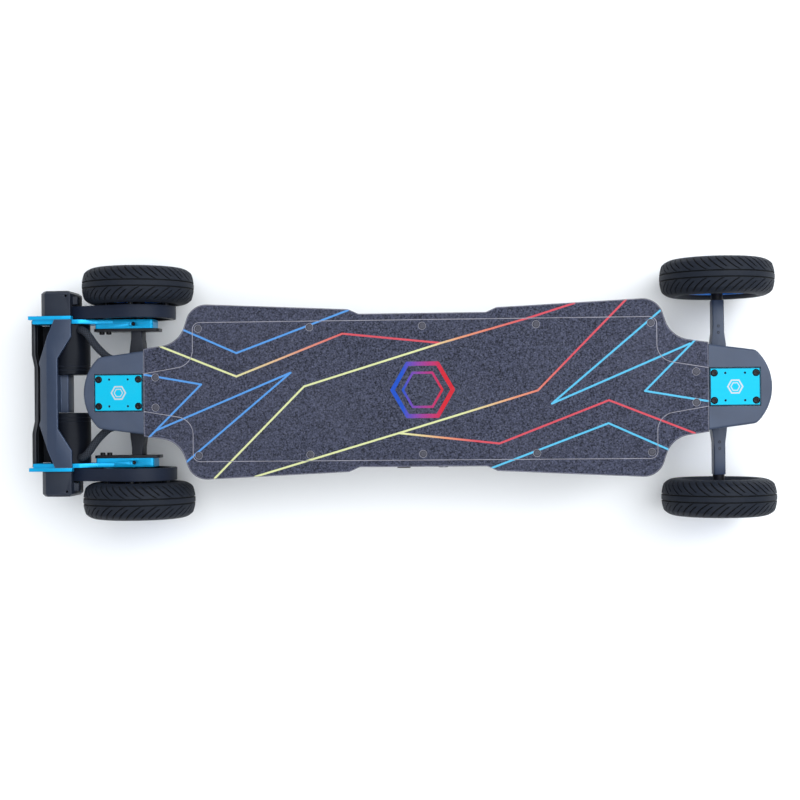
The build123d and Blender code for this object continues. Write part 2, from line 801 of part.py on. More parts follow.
# outlines in X and Z
clamp_front = rear_axle_x + 28
lap_end = rear_axle_x - 34
lap_tail = rear_axle_x - 65
plate_tail = rear_axle_x - tail_reach + 6.3
guard_z = motor_z + motor_radius + 1.5
motor_plate_face = rounded_face(
    [
        (lap_end, axle_z + 20),
        (rear_axle_x - 62, axle_z + 23),
        (motor_x + 24, guard_z),
        (plate_tail, guard_z),
        (plate_tail, motor_z - 20),
        (motor_x - 22, motor_z - 36),
        (motor_x + 22, motor_z - 36),
        (lap_end, axle_z - 16),
    ],
    [2, 12, 12, 0, 5, 16, 16, 2],
)
clamp_lap_face = rounded_face(
    [
        (clamp_front, axle_z + 22),
        (lap_tail, axle_z + 20),
        (lap_tail, axle_z - 16),
        (clamp_front, axle_z - 22),
    ],
    [4, 4, 4, 8],
)
clamp_block_face = rounded_face(
    [(clamp_front, axle_z + 22), (lap_end, axle_z + 22), (lap_end, axle_z - 20), (clamp_front, axle_z - 22)],
    [4, 0, 0, 8],
)
jaw_face = rounded_face(
    [
        (rear_axle_x + 36, axle_z + 19),
        (rear_axle_x - 68, axle_z + 17),
        (rear_axle_x - 68, axle_z - 13),
        (rear_axle_x + 36, axle_z - 20),
    ],
    [8, 6, 6, 12],
)
beam_slot = rounded_face(
    [
        (rear_axle_x + s * (hanger_width / 2 + 0.1), axle_z + t * (hanger_height / 2 + 0.1))
        for s, t in ((1, 1), (-1, 1), (-1, -1), (1, -1))
    ],
    [0] * 4,
)
lap_screw_x = (rear_axle_x - 56, rear_axle_x - 45)
lap_screw_z = axle_z + 10
lap_screw_radius = 2.5
face_screw_circle = 22.0
face_screw_radius = 1.6
with BuildSketch() as face_holes:
    with Locations((motor_x, motor_z)):
        with PolarLocations(face_screw_circle, 4, start_angle=45):
            Circle(face_screw_radius)
with BuildSketch() as face_heads:
    with Locations((motor_x, motor_z)):
        with PolarLocations(face_screw_circle, 4, start_angle=45):
            Circle(3.2)
with BuildSketch() as lap_holes:
    with Locations(*[(x, lap_screw_z) for x in lap_screw_x]):
        Circle(lap_screw_radius)
lap_clearance = [circle_at(x, lap_screw_z, lap_screw_radius + hole_clearance) for x in lap_screw_x]
pinch_x = rear_axle_x - 3.5
clamp_mid = (clamp_inner_y + plate_outer_y) / 2
pinch_floor = axle_z + 18.5

for side_name, side in SIDES.items():
    with BuildPart() as wheel_pulley:
        pulley_profile = [
            (bearing_radius, belt_outer_face - pulley_web),
            (drum_radius, belt_outer_face - pulley_web),
            (drum_radius, belt_inner_face),
            (wheel_pulley_r, belt_inner_face),
            (wheel_pulley_r, belt_outer_face),
            (bearing_radius, belt_outer_face),
        ]
        turned(rear_axle_x, axle_z, side, pulley_profile)
        with BuildSketch(side_plane(side * belt_outer_face)):
            with Locations((rear_axle_x, axle_z)):
                with PolarLocations(window_circle, spokes, start_angle=90):
                    Circle(window_radius)
        extrude(amount=side * pulley_web, mode=Mode.SUBTRACT)
        with BuildSketch(side_plane(side * belt_outer_face)):
            with Locations((rear_axle_x, axle_z)):
                with PolarLocations(post_circle, spokes, start_angle=90):
                    Circle(post_radius)
        extrude(amount=side * (belt_outer_face - wheel_y + rim_half))
    save(wheel_pulley, f"{side_name}_wheel_pulley")

    with BuildPart() as belt:
        slice_y(belt_face, side, belt_inner_face, belt_outer_face)
    save(belt, f"{side_name}_belt")

    with BuildPart() as motor_pulley:
        flange_in = belt_inner_face - 0.1 - flange_thickness
        flange_out = belt_outer_face + 0.1 + flange_thickness
        turned(motor_x, motor_z, side, ring(shaft_radius, motor_pulley_r, flange_in, flange_out))
        for near, far in ((flange_in, belt_inner_face - 0.1), (belt_outer_face + 0.1, flange_out)):
            turned(motor_x, motor_z, side, ring(shaft_radius, motor_pulley_r + flange_proud, near, far))
    save(motor_pulley, f"{side_name}_motor_pulley")

    with BuildPart() as motor_rotor:
        back = motor_inner_face + 10
        bell_outer = motor_radius - can_wall - 0.6
        rotor_profile = [
            (0, motor_inner_face + 2),
            (shaft_radius, motor_inner_face + 2),
            (shaft_radius, back),
            (bell_outer, back),
            (bell_outer, plate_inner_y - 10),
            (bell_outer - 4.8, plate_inner_y - 10),
            (bell_outer - 4.8, back + 5),
            (shaft_radius, back + 5),
            (shaft_radius, flange_out + 1),
            (0, flange_out + 1),
        ]
        turned(motor_x, motor_z, side, rotor_profile)
    save(motor_rotor, f"{side_name}_motor_rotor")

    with BuildPart() as motor_housing:
        front_wall = plate_inner_y - 6
        stator_outer = bell_outer - 5.4
        housing_profile = [
            (shaft_radius + running_gap, motor_inner_face),
            (motor_radius, motor_inner_face),
            (motor_radius, plate_inner_y),
            (shaft_radius + running_gap, plate_inner_y),
            (shaft_radius + running_gap, front_wall),
            (shaft_radius + 2.5, front_wall),
            (shaft_radius + 2.5, back + 22),
            (stator_outer, back + 22),
            (stator_outer, front_wall - 6),
            (shaft_radius + 5, front_wall - 6),
            (shaft_radius + 5, front_wall),
            (motor_radius - can_wall, front_wall),
            (motor_radius - can_wall, motor_inner_face + 4),
            (shaft_radius + running_gap, motor_inner_face + 4),
        ]
        turned(motor_x, motor_z, side, housing_profile)
        slice_y(face_holes.sketch, side, plate_inner_y - 5, plate_inner_y, mode=Mode.SUBTRACT)
    save(motor_housing, f"{side_name}_motor_housing")

    with BuildPart() as motor_plate:
        slice_y(motor_plate_face, side, plate_inner_y, plate_outer_y)
        # blue shoulder beside the guard and the bumper
        shoulder = rounded_face(
            [
                (motor_x + 12.5, guard_z + 7),
                (plate_tail - 4, guard_z + 7),
                (plate_tail - 6.3, guard_z + 2),
                (plate_tail - 6.3, guard_z - 7),
                (motor_x + 12.5, guard_z - 7),
            ],
            [1, 0, 0, 0, 1],
        )
        slice_y(shoulder, side, plate_outer_y, plate_outer_y + 5.5)
        shaft_hole = circle_at(motor_x, motor_z, 8)
        slice_y(shaft_hole, side, plate_inner_y, plate_outer_y, mode=Mode.SUBTRACT)
        slice_y(face_holes.sketch, side, plate_inner_y, plate_outer_y, mode=Mode.SUBTRACT)
        slice_y(face_heads.sketch, side, plate_outer_y - 2, plate_outer_y, mode=Mode.SUBTRACT)
        for hole in lap_clearance:
            slice_y(hole, side, plate_inner_y, plate_outer_y, mode=Mode.SUBTRACT)
    save(motor_plate, f"{side_name}_motor_plate")

    with BuildPart() as axle_clamp:
        slice_y(clamp_lap_face, side, clamp_inner_y, plate_inner_y)
        slice_y(clamp_block_face, side, plate_inner_y, plate_outer_y)
        slice_y(beam_slot, side, clamp_inner_y, plate_outer_y, mode=Mode.SUBTRACT)
        for hole in lap_clearance:
            slice_y(hole, side, clamp_inner_y, plate_inner_y, mode=Mode.SUBTRACT)
        with BuildSketch(Plane.XY.offset(axle_z + 22)):
            with Locations((pinch_x, side * clamp_mid)):
                SlotOverall(13, 6.4)
        extrude(amount=pinch_floor - axle_z - 22, mode=Mode.SUBTRACT)
        with BuildSketch(Plane.XY.offset(pinch_floor)):
            with Locations((pinch_x, side * clamp_mid)):
                Circle(1.6)
        extrude(amount=-6, mode=Mode.SUBTRACT)
    save(axle_clamp, f"{side_name}_axle_clamp")

    with BuildPart() as pulley_cover:
        cover_inner_y = plate_outer_y + 5.5
        cover_front = motor_x + 10.8
        cover_back = motor_x - 38.4
        cover_low = motor_z - 30
        cover_high = guard_z + 4
        cover_face = rounded_face(
            [
                (cover_front, cover_high),
                (cover_back + 9, cover_high),
                (cover_back, cover_high - 12),
                (cover_back, cover_low + 8),
                (cover_back + 8, cover_low),
                (cover_front, cover_low),
            ],
            [0] * 6,
        )
        slice_y(cover_face, side, cover_inner_y, cover_outer_y)
        outer = pulley_cover.faces().sort_by(Axis.Y)[-1 if side > 0 else 0]
        chamfer(outer.edges(), 4)
        cavity = rounded_face(
            [
                (cover_front - 3, cover_high - 3),
                (cover_back + 10, cover_high - 3),
                (cover_back + 3, cover_high - 13),
                (cover_back + 3, cover_low + 9),
                (cover_back + 9, cover_low + 3),
                (cover_front - 3, cover_low + 3),
            ],
            [0] * 6,
        )
        slice_y(cavity, side, cover_inner_y, cover_outer_y - 6, mode=Mode.SUBTRACT)
        # mouth for the belt, and the see-through hole near the outer corner
        with BuildSketch(side_plane(side * cover_inner_y)):
            with Locations((cover_front, motor_z - 1)):
                Rectangle(10, 54)
        extrude(amount=-side * (flange_out + 1.2 - cover_inner_y), mode=Mode.SUBTRACT)
        with BuildSketch(Plane.XY.offset(cover_low)):
            with Locations((cover_front - 7, side * (cover_outer_y - 8))):
                Circle(2)
        extrude(amount=cover_high - cover_low, mode=Mode.SUBTRACT)
        # small lug on the front, outboard of the belt
        with BuildSketch(side_plane(side * (flange_out + 2.5))):
            with Locations((cover_front + 3.5, motor_z + 8)):
                Rectangle(7, 26)
        extrude(amount=-side * 12)
    save(pulley_cover, f"{side_name}_pulley_cover")

with BuildPart() as clamp_jaws:
    for side in (1, -1):
        slice_y(jaw_face, side, jaw_inner_y, clamp_inner_y)
        slice_y(beam_slot, side, jaw_inner_y, clamp_inner_y, mode=Mode.SUBTRACT)
        for hole in lap_clearance:
            slice_y(hole, side, jaw_inner_y, clamp_inner_y, mode=Mode.SUBTRACT)
save(clamp_jaws, "clamp_jaws")

with BuildPart() as mount_screws:
    for side in (1, -1):
        slice_y(lap_holes.sketch, side, jaw_inner_y - 4, plate_outer_y - 0.3)
        for x in lap_screw_x:
            slice_y(circle_at(x, lap_screw_z, 4.2), side, jaw_inner_y - 4.5, jaw_inner_y)
        slice_y(face_holes.sketch, side, plate_inner_y - 5, plate_outer_y - 2)
        slice_y(face_heads.sketch, side, plate_outer_y - 2, plate_outer_y - 0.1)
        with BuildSketch(Plane.XY.offset(pinch_floor)):
            with Locations((pinch_x, side * clamp_mid)):
                Circle(2.9)
        extrude(amount=2.5)
        with BuildSketch(Plane.XY.offset(pinch_floor)):
            with Locations((pinch_x, side * clamp_mid)):
                Circle(1.6)
        extrude(amount=axle_z + hanger_height / 2 + 0.2 - pinch_floor)
save(mount_screws, "mount_screws")

# ---------------------------------------------------------------- guard and bumper
guard_plan = [
    (motor_x - 9.5, 55),
    (motor_x + 12.3, 89),
    (motor_x + 12.3, plate_outer_y),
    (motor_x - 14, plate_outer_y),
    (motor_x - 42.6, 48),
    (motor_x - 39.6, 41),
]
guard_section = [
    (14, 33), (14, 40), (-26, 40), (-43, 27), (-43, 10), (-37, 10), (-36, 21), (-23, 33),
]
with BuildPart() as motor_guard:
    with BuildSketch(Plane.XY.offset(motor_z)):
        with BuildLine():
            Polyline(*guard_plan, *[(x, -y) for x, y in reversed(guard_plan)], close=True)
        make_face()
    extrude(amount=60)
    with BuildSketch(side_plane(plate_outer_y)):
        with BuildLine():
            Polyline(*[(motor_x + x, motor_z + z) for x, z in guard_section], close=True)
        make_face()
    extrude(amount=2 * plate_outer_y, mode=Mode.INTERSECT)
    # web that drops between the two motors
    with BuildSketch(side_plane(motor_inner_face - 0.3)):
        with Locations((motor_x - 15, motor_z + 12)):
            Rectangle(11, 46)
        with Locations((motor_x - 4, motor_z + 4)):
            Rectangle(12, 32)
    extrude(amount=2 * (motor_inner_face - 0.3))
save(motor_guard, "motor_guard")

bumper_back = rear_axle_x - tail_reach
bumper_bar = 6.3
bumper_line = [(0, plate_outer_y), (0, 62), (4, 43), (4, -43), (0, -62), (0, -plate_outer_y)]
bumper_plan = [(bumper_back + x, y) for x, y in bumper_line]
bumper_plan += [(bumper_back + bumper_bar + x, y) for x, y in reversed(bumper_line)]
with BuildPart() as rear_bumper:
    with BuildSketch(Plane.XY.offset(motor_z - 18)):
        with BuildLine():
            Polyline(*bumper_plan, close=True)
        make_face()
    extrude(amount=36)
save(rear_bumper, "rear_bumper")

# ---------------------------------------------------------------- motor cables
gland = (motor_radius + 0.9) / sqrt(2)
cable_route = [
    (motor_x + gland, 100, motor_z + gland),
    (motor_x + 33, 100, motor_z + 33),
    (motor_x + 54, 68, cable_z),
    (motor_x + 84, cable_y, cable_z),
    (deck_x - cavity_half_length + 2, cable_y, cable_z),
]
cable_bends = [12, 100, 50]
with BuildPart() as motor_cables:
    for side in (1, -1):
        with BuildLine() as route:
            FilletPolyline(*[(x, side * y, z) for x, y, z in cable_route], radius=cable_bends)
        with BuildSketch(Plane(origin=route.line @ 0, z_dir=route.line % 0)):
            Circle(cable_radius)
        sweep(path=route.line)
save(motor_cables, "motor_cables")
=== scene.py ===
"""Looks of an electric all-terrain board with belt-driven rear wheels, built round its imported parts.

Metres: +X to the nose, +Y to the left when facing the nose, +Z up, ground at zero.
"""

from math import acos, atan2, cos, hypot, pi, radians, sin, sqrt

import bmesh
import bpy
from mathutils import Matrix, Vector


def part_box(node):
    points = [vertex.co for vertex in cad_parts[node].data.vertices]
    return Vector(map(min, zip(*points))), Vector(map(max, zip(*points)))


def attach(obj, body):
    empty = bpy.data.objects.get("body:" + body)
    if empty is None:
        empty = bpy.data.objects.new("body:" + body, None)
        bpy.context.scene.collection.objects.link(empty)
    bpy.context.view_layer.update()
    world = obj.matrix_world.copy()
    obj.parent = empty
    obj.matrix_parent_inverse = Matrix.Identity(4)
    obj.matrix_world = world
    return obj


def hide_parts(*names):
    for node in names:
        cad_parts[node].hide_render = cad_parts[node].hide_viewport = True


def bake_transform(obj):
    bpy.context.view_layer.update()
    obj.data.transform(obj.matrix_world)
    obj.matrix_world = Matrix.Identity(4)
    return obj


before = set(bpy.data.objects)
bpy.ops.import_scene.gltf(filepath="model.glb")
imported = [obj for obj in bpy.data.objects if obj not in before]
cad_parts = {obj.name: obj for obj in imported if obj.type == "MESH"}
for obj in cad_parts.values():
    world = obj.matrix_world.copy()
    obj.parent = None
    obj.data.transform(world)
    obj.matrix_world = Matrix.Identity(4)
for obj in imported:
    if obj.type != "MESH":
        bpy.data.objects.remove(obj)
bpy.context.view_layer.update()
scene = bpy.context.scene

# ------------------------------------------------------------------ studio
# The board stands on a pale seamless floor and is seen from almost straight overhead. One
# large soft light hangs above it, with a second towards the nose and a weak one at the tail.


def keep(name, mesh):
    """A mesh, lamp or camera as an object at the origin, in the scene."""
    made = bpy.data.objects.new(name, mesh)
    scene.collection.objects.link(made)
    return made


def mesh_of(name, points, faces, material=None):
    """A checked mesh of these points and faces, with its finish."""
    mesh = bpy.data.meshes.new(name)
    mesh.from_pydata([tuple(p) for p in points], [], faces)
    if material is not None:
        mesh.materials.append(material)
    mesh.validate()
    return mesh


def add_node(tree, kind, inputs=None, **settings):
    """A node with its settings made and its sockets filled or linked."""
    made = tree.nodes.new(kind)
    for key, value in settings.items():
        setattr(made, key, value)
    for key, value in (inputs or {}).items():
        socket = made.inputs[key]
        if isinstance(value, bpy.types.NodeSocket):
            tree.links.new(value, socket)
        else:
            socket.default_value = value
    return made


def math_node(tree, operation, *values, clamp=False):
    """The result of one sum on values or sockets."""
    inputs = dict(enumerate(values))
    return add_node(tree, "ShaderNodeMath", inputs, operation=operation, use_clamp=clamp).outputs[0]


def mix_colour(tree, share, first, second):
    """Colour between two others, wholly the second where the share is 1."""
    inputs = {0: share, 6: first, 7: second}
    return add_node(tree, "ShaderNodeMix", inputs, data_type="RGBA").outputs[2]


def ramp_between(tree, value, low, high, start=0.0, end=1.0):
    """Value from start to end as the input goes from low to high, held outside them."""
    inputs = {"Value": value, "From Min": low, "From Max": high, "To Min": start, "To Max": end}
    return add_node(tree, "ShaderNodeMapRange", inputs).outputs[0]


def noise(tree, place, scale, detail=2.0, roughness=0.5):
    """Soft cloudiness of this scale, 0 to 1. Without a place it follows the piece's own box."""
    inputs = {"Scale": scale, "Detail": detail, "Roughness": roughness}
    if place is not None:
        inputs["Vector"] = place
    return add_node(tree, "ShaderNodeTexNoise", inputs).outputs[0]


def object_place(tree):
    """Where a point of the piece lies, in metres."""
    return add_node(tree, "ShaderNodeTexCoord").outputs["Object"]


studio_gain = 1.7  # how much brighter a surface looks under these lights than it is


def paint(red, green, blue):
    """Linear colour for a shader from how it should look in this studio, where 255 is full.

    A dye may go a little past 255, since the studio's gain is divided out.
    """
    shares = [v / 255 for v in (red, green, blue)]
    tone = [v / 12.92 if v < 11 / 255 else ((v + 0.055) / 1.055) ** 2.4 for v in shares]
    return (*(t / studio_gain for t in tone), 1.0)


floor_half = 6.0
floor_white = bpy.data.materials.new("pale_floor")
floor_white.use_nodes = True
floor_tree = floor_white.node_tree
floor_shader = floor_tree.nodes["Principled BSDF"]
scuffed_white, clean_white = (0.93, 0.935, 0.94, 1.0), (0.96, 0.96, 0.965, 1.0)
floor_colour = mix_colour(floor_tree, noise(floor_tree, None, 1.5), scuffed_white, clean_white)
floor_tree.links.new(floor_colour, floor_shader.inputs["Base Color"])
floor_shader.inputs["Roughness"].default_value = 0.85
floor_corners = [(x * floor_half, y * floor_half, 0) for x, y in ((-1, -1), (1, -1), (1, 1), (-1, 1))]
floor = keep("floor", mesh_of("floor", floor_corners, [(0, 1, 2, 3)], floor_white))

sky_colour, sky_strength, lamp_colour = (0.93, 0.96, 1.0, 1.0), 0.72, (0.93, 0.97, 1.0)
world = bpy.data.worlds.new("studio")
world.use_nodes = True
sky = world.node_tree.nodes["Background"]
sky.inputs["Color"].default_value = sky_colour
sky.inputs["Strength"].default_value = sky_strength
scene.world = world


def soft_light(name, place, aim, size, power):
    """A rectangular soft light at a place, turned to its aim, in watts."""
    lamp = bpy.data.lights.new(name, "AREA")
    lamp.shape, lamp.size, lamp.size_y = "RECTANGLE", size[0], size[1]
    lamp.energy = power
    lamp.color = lamp_colour
    made = keep(name, lamp)
    made.location = place
    made.rotation_mode = "QUATERNION"
    made.rotation_quaternion = (Vector(aim) - Vector(place)).to_track_quat("-Z", "Y")


soft_light("overhead_light", (0.9, 0.35, 3.0), (0.3, 0, 0), (4.0, 3.0), 90)
soft_light("tail_light", (-2.6, -1.2, 1.7), (-0.2, 0, 0.1), (1.6, 1.2), 5)
soft_light("nose_light", (2.2, 1.2, 2.2), (0.5, 0, 0.1), (1.6, 1.2), 40)

camera_lens = bpy.data.cameras.new("camera")
camera_lens.sensor_width = 36.0
camera_lens.lens = 65.284
camera_lens.clip_end = 40.0
camera = keep("camera", camera_lens)
camera_place = (0.148407, -0.032092, 2.354469)
camera_tilt = (
    Matrix.Rotation(0.0099738, 3, "Z")
    @ Matrix.Rotation(-0.0651117, 3, "Y")
    @ Matrix.Rotation(-0.0076629, 3, "X")
)
camera.matrix_world = Matrix.Translation(camera_place) @ camera_tilt.transposed().to_4x4()
scene.camera = camera
scene.view_settings.view_transform = "Standard"

# ------------------------------------------------------------------ deck shell
# One moulding of black fibre-filled composite: a tray with a sloped belly, a rebate
# for the lid and a tongue at each end. Its surface is fine-grained and satin. What any
# finish needs, its grain, its rubbed edges and its dust, is made here too.


def new_group(name, inputs, outputs):
    """A shader group with named sockets: the tree, its inputs and the node that takes its outputs."""
    tree = bpy.data.node_groups.new(name, "ShaderNodeTree")
    for label, kind, value in inputs:
        socket = tree.interface.new_socket(label, in_out="INPUT", socket_type="NodeSocket" + kind)
        if value is not None:
            socket.default_value = value
    for label, kind in outputs:
        tree.interface.new_socket(label, in_out="OUTPUT", socket_type="NodeSocket" + kind)
    return tree, tree.nodes.new("NodeGroupInput").outputs, tree.nodes.new("NodeGroupOutput").inputs


# edges rubbed bright by handling, and the small radius that every edge really has
edge_wear, given, wanted = new_group(
    "edge wear",
    [("Radius", "Float", 0.0008), ("Patchiness", "Float", 60.0)],
    [("Edge", "Float"), ("Normal", "Vector")],
)
eased_normal = add_node(edge_wear, "ShaderNodeBevel", {"Radius": given["Radius"]}, samples=4).outputs[0]
true_normal = add_node(edge_wear, "ShaderNodeNewGeometry").outputs["Normal"]
turned_by = add_node(
    edge_wear, "ShaderNodeVectorMath", {0: eased_normal, 1: true_normal}, operation="DOT_PRODUCT"
).outputs["Value"]
patches = noise(edge_wear, object_place(edge_wear), given["Patchiness"], 3.0)
on_edge = ramp_between(edge_wear, turned_by, 0.995, 0.9)
rubbed = ramp_between(edge_wear, patches, 0.35, 0.65, 0.35, 1.0)
edge_wear.links.new(math_node(edge_wear, "MULTIPLY", on_edge, rubbed), wanted["Edge"])
edge_wear.links.new(eased_normal, wanted["Normal"])

# the grain of a moulded, cast or blasted surface, with its slow change of tone
fine_grain, given, wanted = new_group(
    "fine grain",
    [
        ("Grain", "Float", 900.0),
        ("Depth", "Float", 0.0001),
        ("Cloud", "Float", 18.0),
        ("Normal", "Vector", None),
    ],
    [("Tone", "Float"), ("Speck", "Float"), ("Normal", "Vector")],
)
grain_place = object_place(fine_grain)
speck = noise(fine_grain, grain_place, given["Grain"], 2.0)
tone = noise(fine_grain, grain_place, given["Cloud"], 4.0)
pitted = add_node(
    fine_grain,
    "ShaderNodeBump",
    {"Height": speck, "Distance": given["Depth"], "Normal": given["Normal"], "Strength": 0.6},
).outputs[0]
fine_grain.links.new(ramp_between(fine_grain, tone, 0.3, 0.7), wanted["Tone"])
fine_grain.links.new(speck, wanted["Speck"])
fine_grain.links.new(pitted, wanted["Normal"])

# road dust that settles on what faces up
road_dust, given, wanted = new_group("road dust", [("Amount", "Float", 0.1)], [("Dust", "Float")])
facing = add_node(road_dust, "ShaderNodeNewGeometry").outputs["Normal"]
upward = add_node(road_dust, "ShaderNodeSeparateXYZ", {0: facing}).outputs["Z"]
drift = noise(road_dust, object_place(road_dust), 35.0, 6.0, 0.7)
lying, drifted = ramp_between(road_dust, upward, 0.2, 0.9), ramp_between(road_dust, drift, 0.45, 0.75)
settled = math_node(road_dust, "MULTIPLY", lying, drifted)
road_dust.links.new(math_node(road_dust, "MULTIPLY", settled, given["Amount"], clamp=True), wanted["Dust"])


def add_group(tree, group, inputs):
    """A shader group placed in a tree, its sockets filled or linked: its outputs."""
    return add_node(tree, "ShaderNodeGroup", inputs, node_tree=group).outputs


dust_tone = paint(150, 146, 140)
speck_gloss = 0.07  # how far the grain's specks move the roughness, each way


def blank_material(name, roughness, metal=0.0, **surface):
    """An empty material and its shader, with what is the same all over set on the shader."""
    material = bpy.data.materials.new(name)
    material.use_nodes = True
    shader = material.node_tree.nodes["Principled BSDF"]
    shader.inputs["Roughness"].default_value = roughness
    shader.inputs["Metallic"].default_value = metal
    for label, value in surface.items():
        shader.inputs[label.replace("_", " ")].default_value = value
    return material, material.node_tree, shader


def opaque(shares):
    """A shader's colour from its three shares, none of them over full."""
    return (*(min(1.0, c) for c in shares), 1.0)


def finish_tree(tree, shader, colour, roughness, grain, depth, cloud, spread, worn, radius, dust):
    """Fills a shader from the grain, wear and dust groups. Colour is a value or a socket."""
    wear = add_group(tree, edge_wear, {"Radius": radius})
    coat = add_group(
        tree, fine_grain, {"Grain": grain, "Depth": depth, "Cloud": cloud, "Normal": wear["Normal"]}
    )
    settled_dust = add_group(tree, road_dust, {"Amount": dust})["Dust"]
    if isinstance(colour, bpy.types.NodeSocket):
        toned = colour
    else:
        dark, light = (opaque(c * share for c in colour[:3]) for share in (1 - spread, 1 + spread))
        toned = mix_colour(tree, coat["Tone"], dark, light)
    rubbed_colour = mix_colour(tree, wear["Edge"], toned, worn)
    dusty = mix_colour(tree, settled_dust, rubbed_colour, dust_tone)
    tree.links.new(dusty, shader.inputs["Base Color"])
    grainy = ramp_between(tree, coat["Speck"], 0.2, 0.8, roughness - speck_gloss, roughness + speck_gloss)
    tree.links.new(math_node(tree, "ADD", grainy, settled_dust, clamp=True), shader.inputs["Roughness"])
    tree.links.new(coat["Normal"], shader.inputs["Normal"])


def finish(name, colour, roughness, metal=0.0, grain=900.0, depth=0.0001, cloud=18.0, spread=0.15,
           worn=None, radius=0.0007, dust=0.05, **surface):
    """A material of one colour with its grain, rubbed edges and dust."""
    material, tree, shader = blank_material(name, roughness, metal, **surface)
    if worn is None:
        worn = opaque(c * 1.9 + 0.012 for c in colour[:3])
    finish_tree(tree, shader, colour, roughness, grain, depth, cloud, spread, worn, radius, dust)
    return material


def coat_node(name, material):
    """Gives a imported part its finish."""
    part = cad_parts[name]
    if part.material_slots:
        for slot in part.material_slots:
            slot.material = material
    else:
        part.data.materials.append(material)


shell_black = finish(
    "moulded_composite", paint(34, 36, 43), 0.5, grain=700, depth=0.00012, dust=0.02, Specular_IOR_Level=0.3
)
coat_node("deck_shell", shell_black)

# ------------------------------------------------------------------ lid and what it covers
# A flat composite board screwed into the rebate of the shell. Below it two rows of
# shrink-wrapped cells and the finned motor controller fill the cavity.
lid_board = finish("lid_board", paint(46, 47, 54), 0.6, grain=1200)
coat_node("deck_lid", lid_board)
coat_node("battery_cells", finish("cell_wrap", paint(36, 88, 130), 0.32, spread=0.1, Coat_Weight=0.3))
coat_node(
    "motor_controller", finish("controller_alloy", paint(70, 72, 76), 0.42, 0.9, grain=1500, depth=0.00005)
)

# ------------------------------------------------------------------ printed grip
# Coarse mineral grit on a soft sheet, laid in two pieces: one on the lid and one on the
# rim round it. Zigzag lines that fade from yellow to red, and blue ones, are printed on it.
grip_low, grip_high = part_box("grip_rim")
deck_middle_x = (grip_low.x + grip_high.x) / 2
print_width = 0.0029
print_blue, print_sky = paint(100, 172, 250), paint(104, 212, 255)
print_yellow, print_peach = paint(250, 254, 186), paint(250, 168, 140)
print_orange, print_red = paint(255, 168, 130), paint(240, 92, 106)
sunset_tail = [(-0.30, print_yellow), (-0.185, print_peach), (-0.11, print_red)]
sunset_middle = [(0.0, print_yellow), (0.06, print_orange), (0.16, print_red)]
sunset_low = [(-0.03, print_yellow), (0.035, print_orange), (0.08, print_red)]
sunset_nose = [(0.06, print_yellow), (0.14, print_orange), (0.22, print_red)]
# each printed line: its colours along the board, then its corners in millimetres from the deck's middle
printed_lines = [
    ([(0, print_blue)], [(-368, 96), (-285.6, 59.3), (-112, 123)]),
    (sunset_tail, [(-404, 71), (-286, 23.4), (-122, 87), (29.3, 70.8)]),
    (sunset_middle, [(-321, -133), (-181.5, 7), (29.3, 71), (164, 108), (231, 128.8)]),
    (sunset_nose, [(-258, -130.5), (-36.7, -65.6), (174.7, -2.6), (308.3, 133)]),
    (sunset_low, [(-36.7, -65.6), (116, -82.6), (281.4, -18.6), (409, -69.5)]),
    ([(0, print_blue)], [(-432, 28.2), (-340.6, 11.8), (-422.5, -69)]),
    ([(0, print_blue)], [(-411.4, -58.4), (-202, 28.3), (-367.3, -109.8)]),
    ([(0, print_sky)], [(359, 115.4), (195.6, -22.9), (403, 65.4)]),
    ([(0, print_sky)], [(410.8, 70.7), (335.5, -5.2), (429.6, -21.5)]),
    ([(0, print_sky)], [(103, -120), (280.4, -53.3), (369.6, -93.7)]),
]

# ink inside a straight stroke between two points, seen from above
ink_stroke, given, wanted = new_group(
    "ink stroke",
    [("Place", "Vector", None), ("Start", "Vector", None), ("Run", "Vector", None),
     ("Half Width", "Float", 0.00175)],
    [("Ink", "Float")],
)


def vector_node(tree, operation, *values, output="Vector"):
    """The result of one sum on places."""
    made = add_node(tree, "ShaderNodeVectorMath", dict(enumerate(values)), operation=operation)
    return made.outputs[output]


from_start = vector_node(ink_stroke, "SUBTRACT", given["Place"], given["Start"])
along = vector_node(ink_stroke, "DOT_PRODUCT", from_start, given["Run"], output="Value")
whole = vector_node(ink_stroke, "DOT_PRODUCT", given["Run"], given["Run"], output="Value")
share = math_node(ink_stroke, "DIVIDE", along, whole, clamp=True)
nearest = add_node(
    ink_stroke, "ShaderNodeVectorMath", {0: given["Run"], "Scale": share}, operation="SCALE"
).outputs[0]
off_line = vector_node(ink_stroke, "DISTANCE", from_start, nearest, output="Value")
past_edge = math_node(ink_stroke, "SUBTRACT", off_line, given["Half Width"])
ink_bleed = 0.0003
ink_stroke.links.new(ramp_between(ink_stroke, past_edge, ink_bleed, -ink_bleed), wanted["Ink"])


def stroke_mask(tree, place, corners, half_width):
    """Ink of a line through these corners, in metres from the middle."""
    mask = None
    for (x0, y0), (x1, y1) in zip(corners, corners[1:]):
        ink = add_group(
            tree,
            ink_stroke,
            {"Place": place, "Start": (x0, y0, 0), "Run": (x1 - x0, y1 - y0, 0), "Half Width": half_width},
        )["Ink"]
        mask = ink if mask is None else math_node(tree, "MAXIMUM", mask, ink)
    return mask


def flat_place(tree, centre_x):
    """Object coordinates from a point on the centreline, without their height."""
    flat = vector_node(tree, "MULTIPLY", object_place(tree), (1.0, 1.0, 0.0))
    return vector_node(tree, "SUBTRACT", flat, (centre_x, 0.0, 0.0))


def hexagon(radius):
    """A plain hexagon's corners, closed."""
    return [(radius * cos(radians(60 * i)), radius * sin(radians(60 * i))) for i in range(7)]


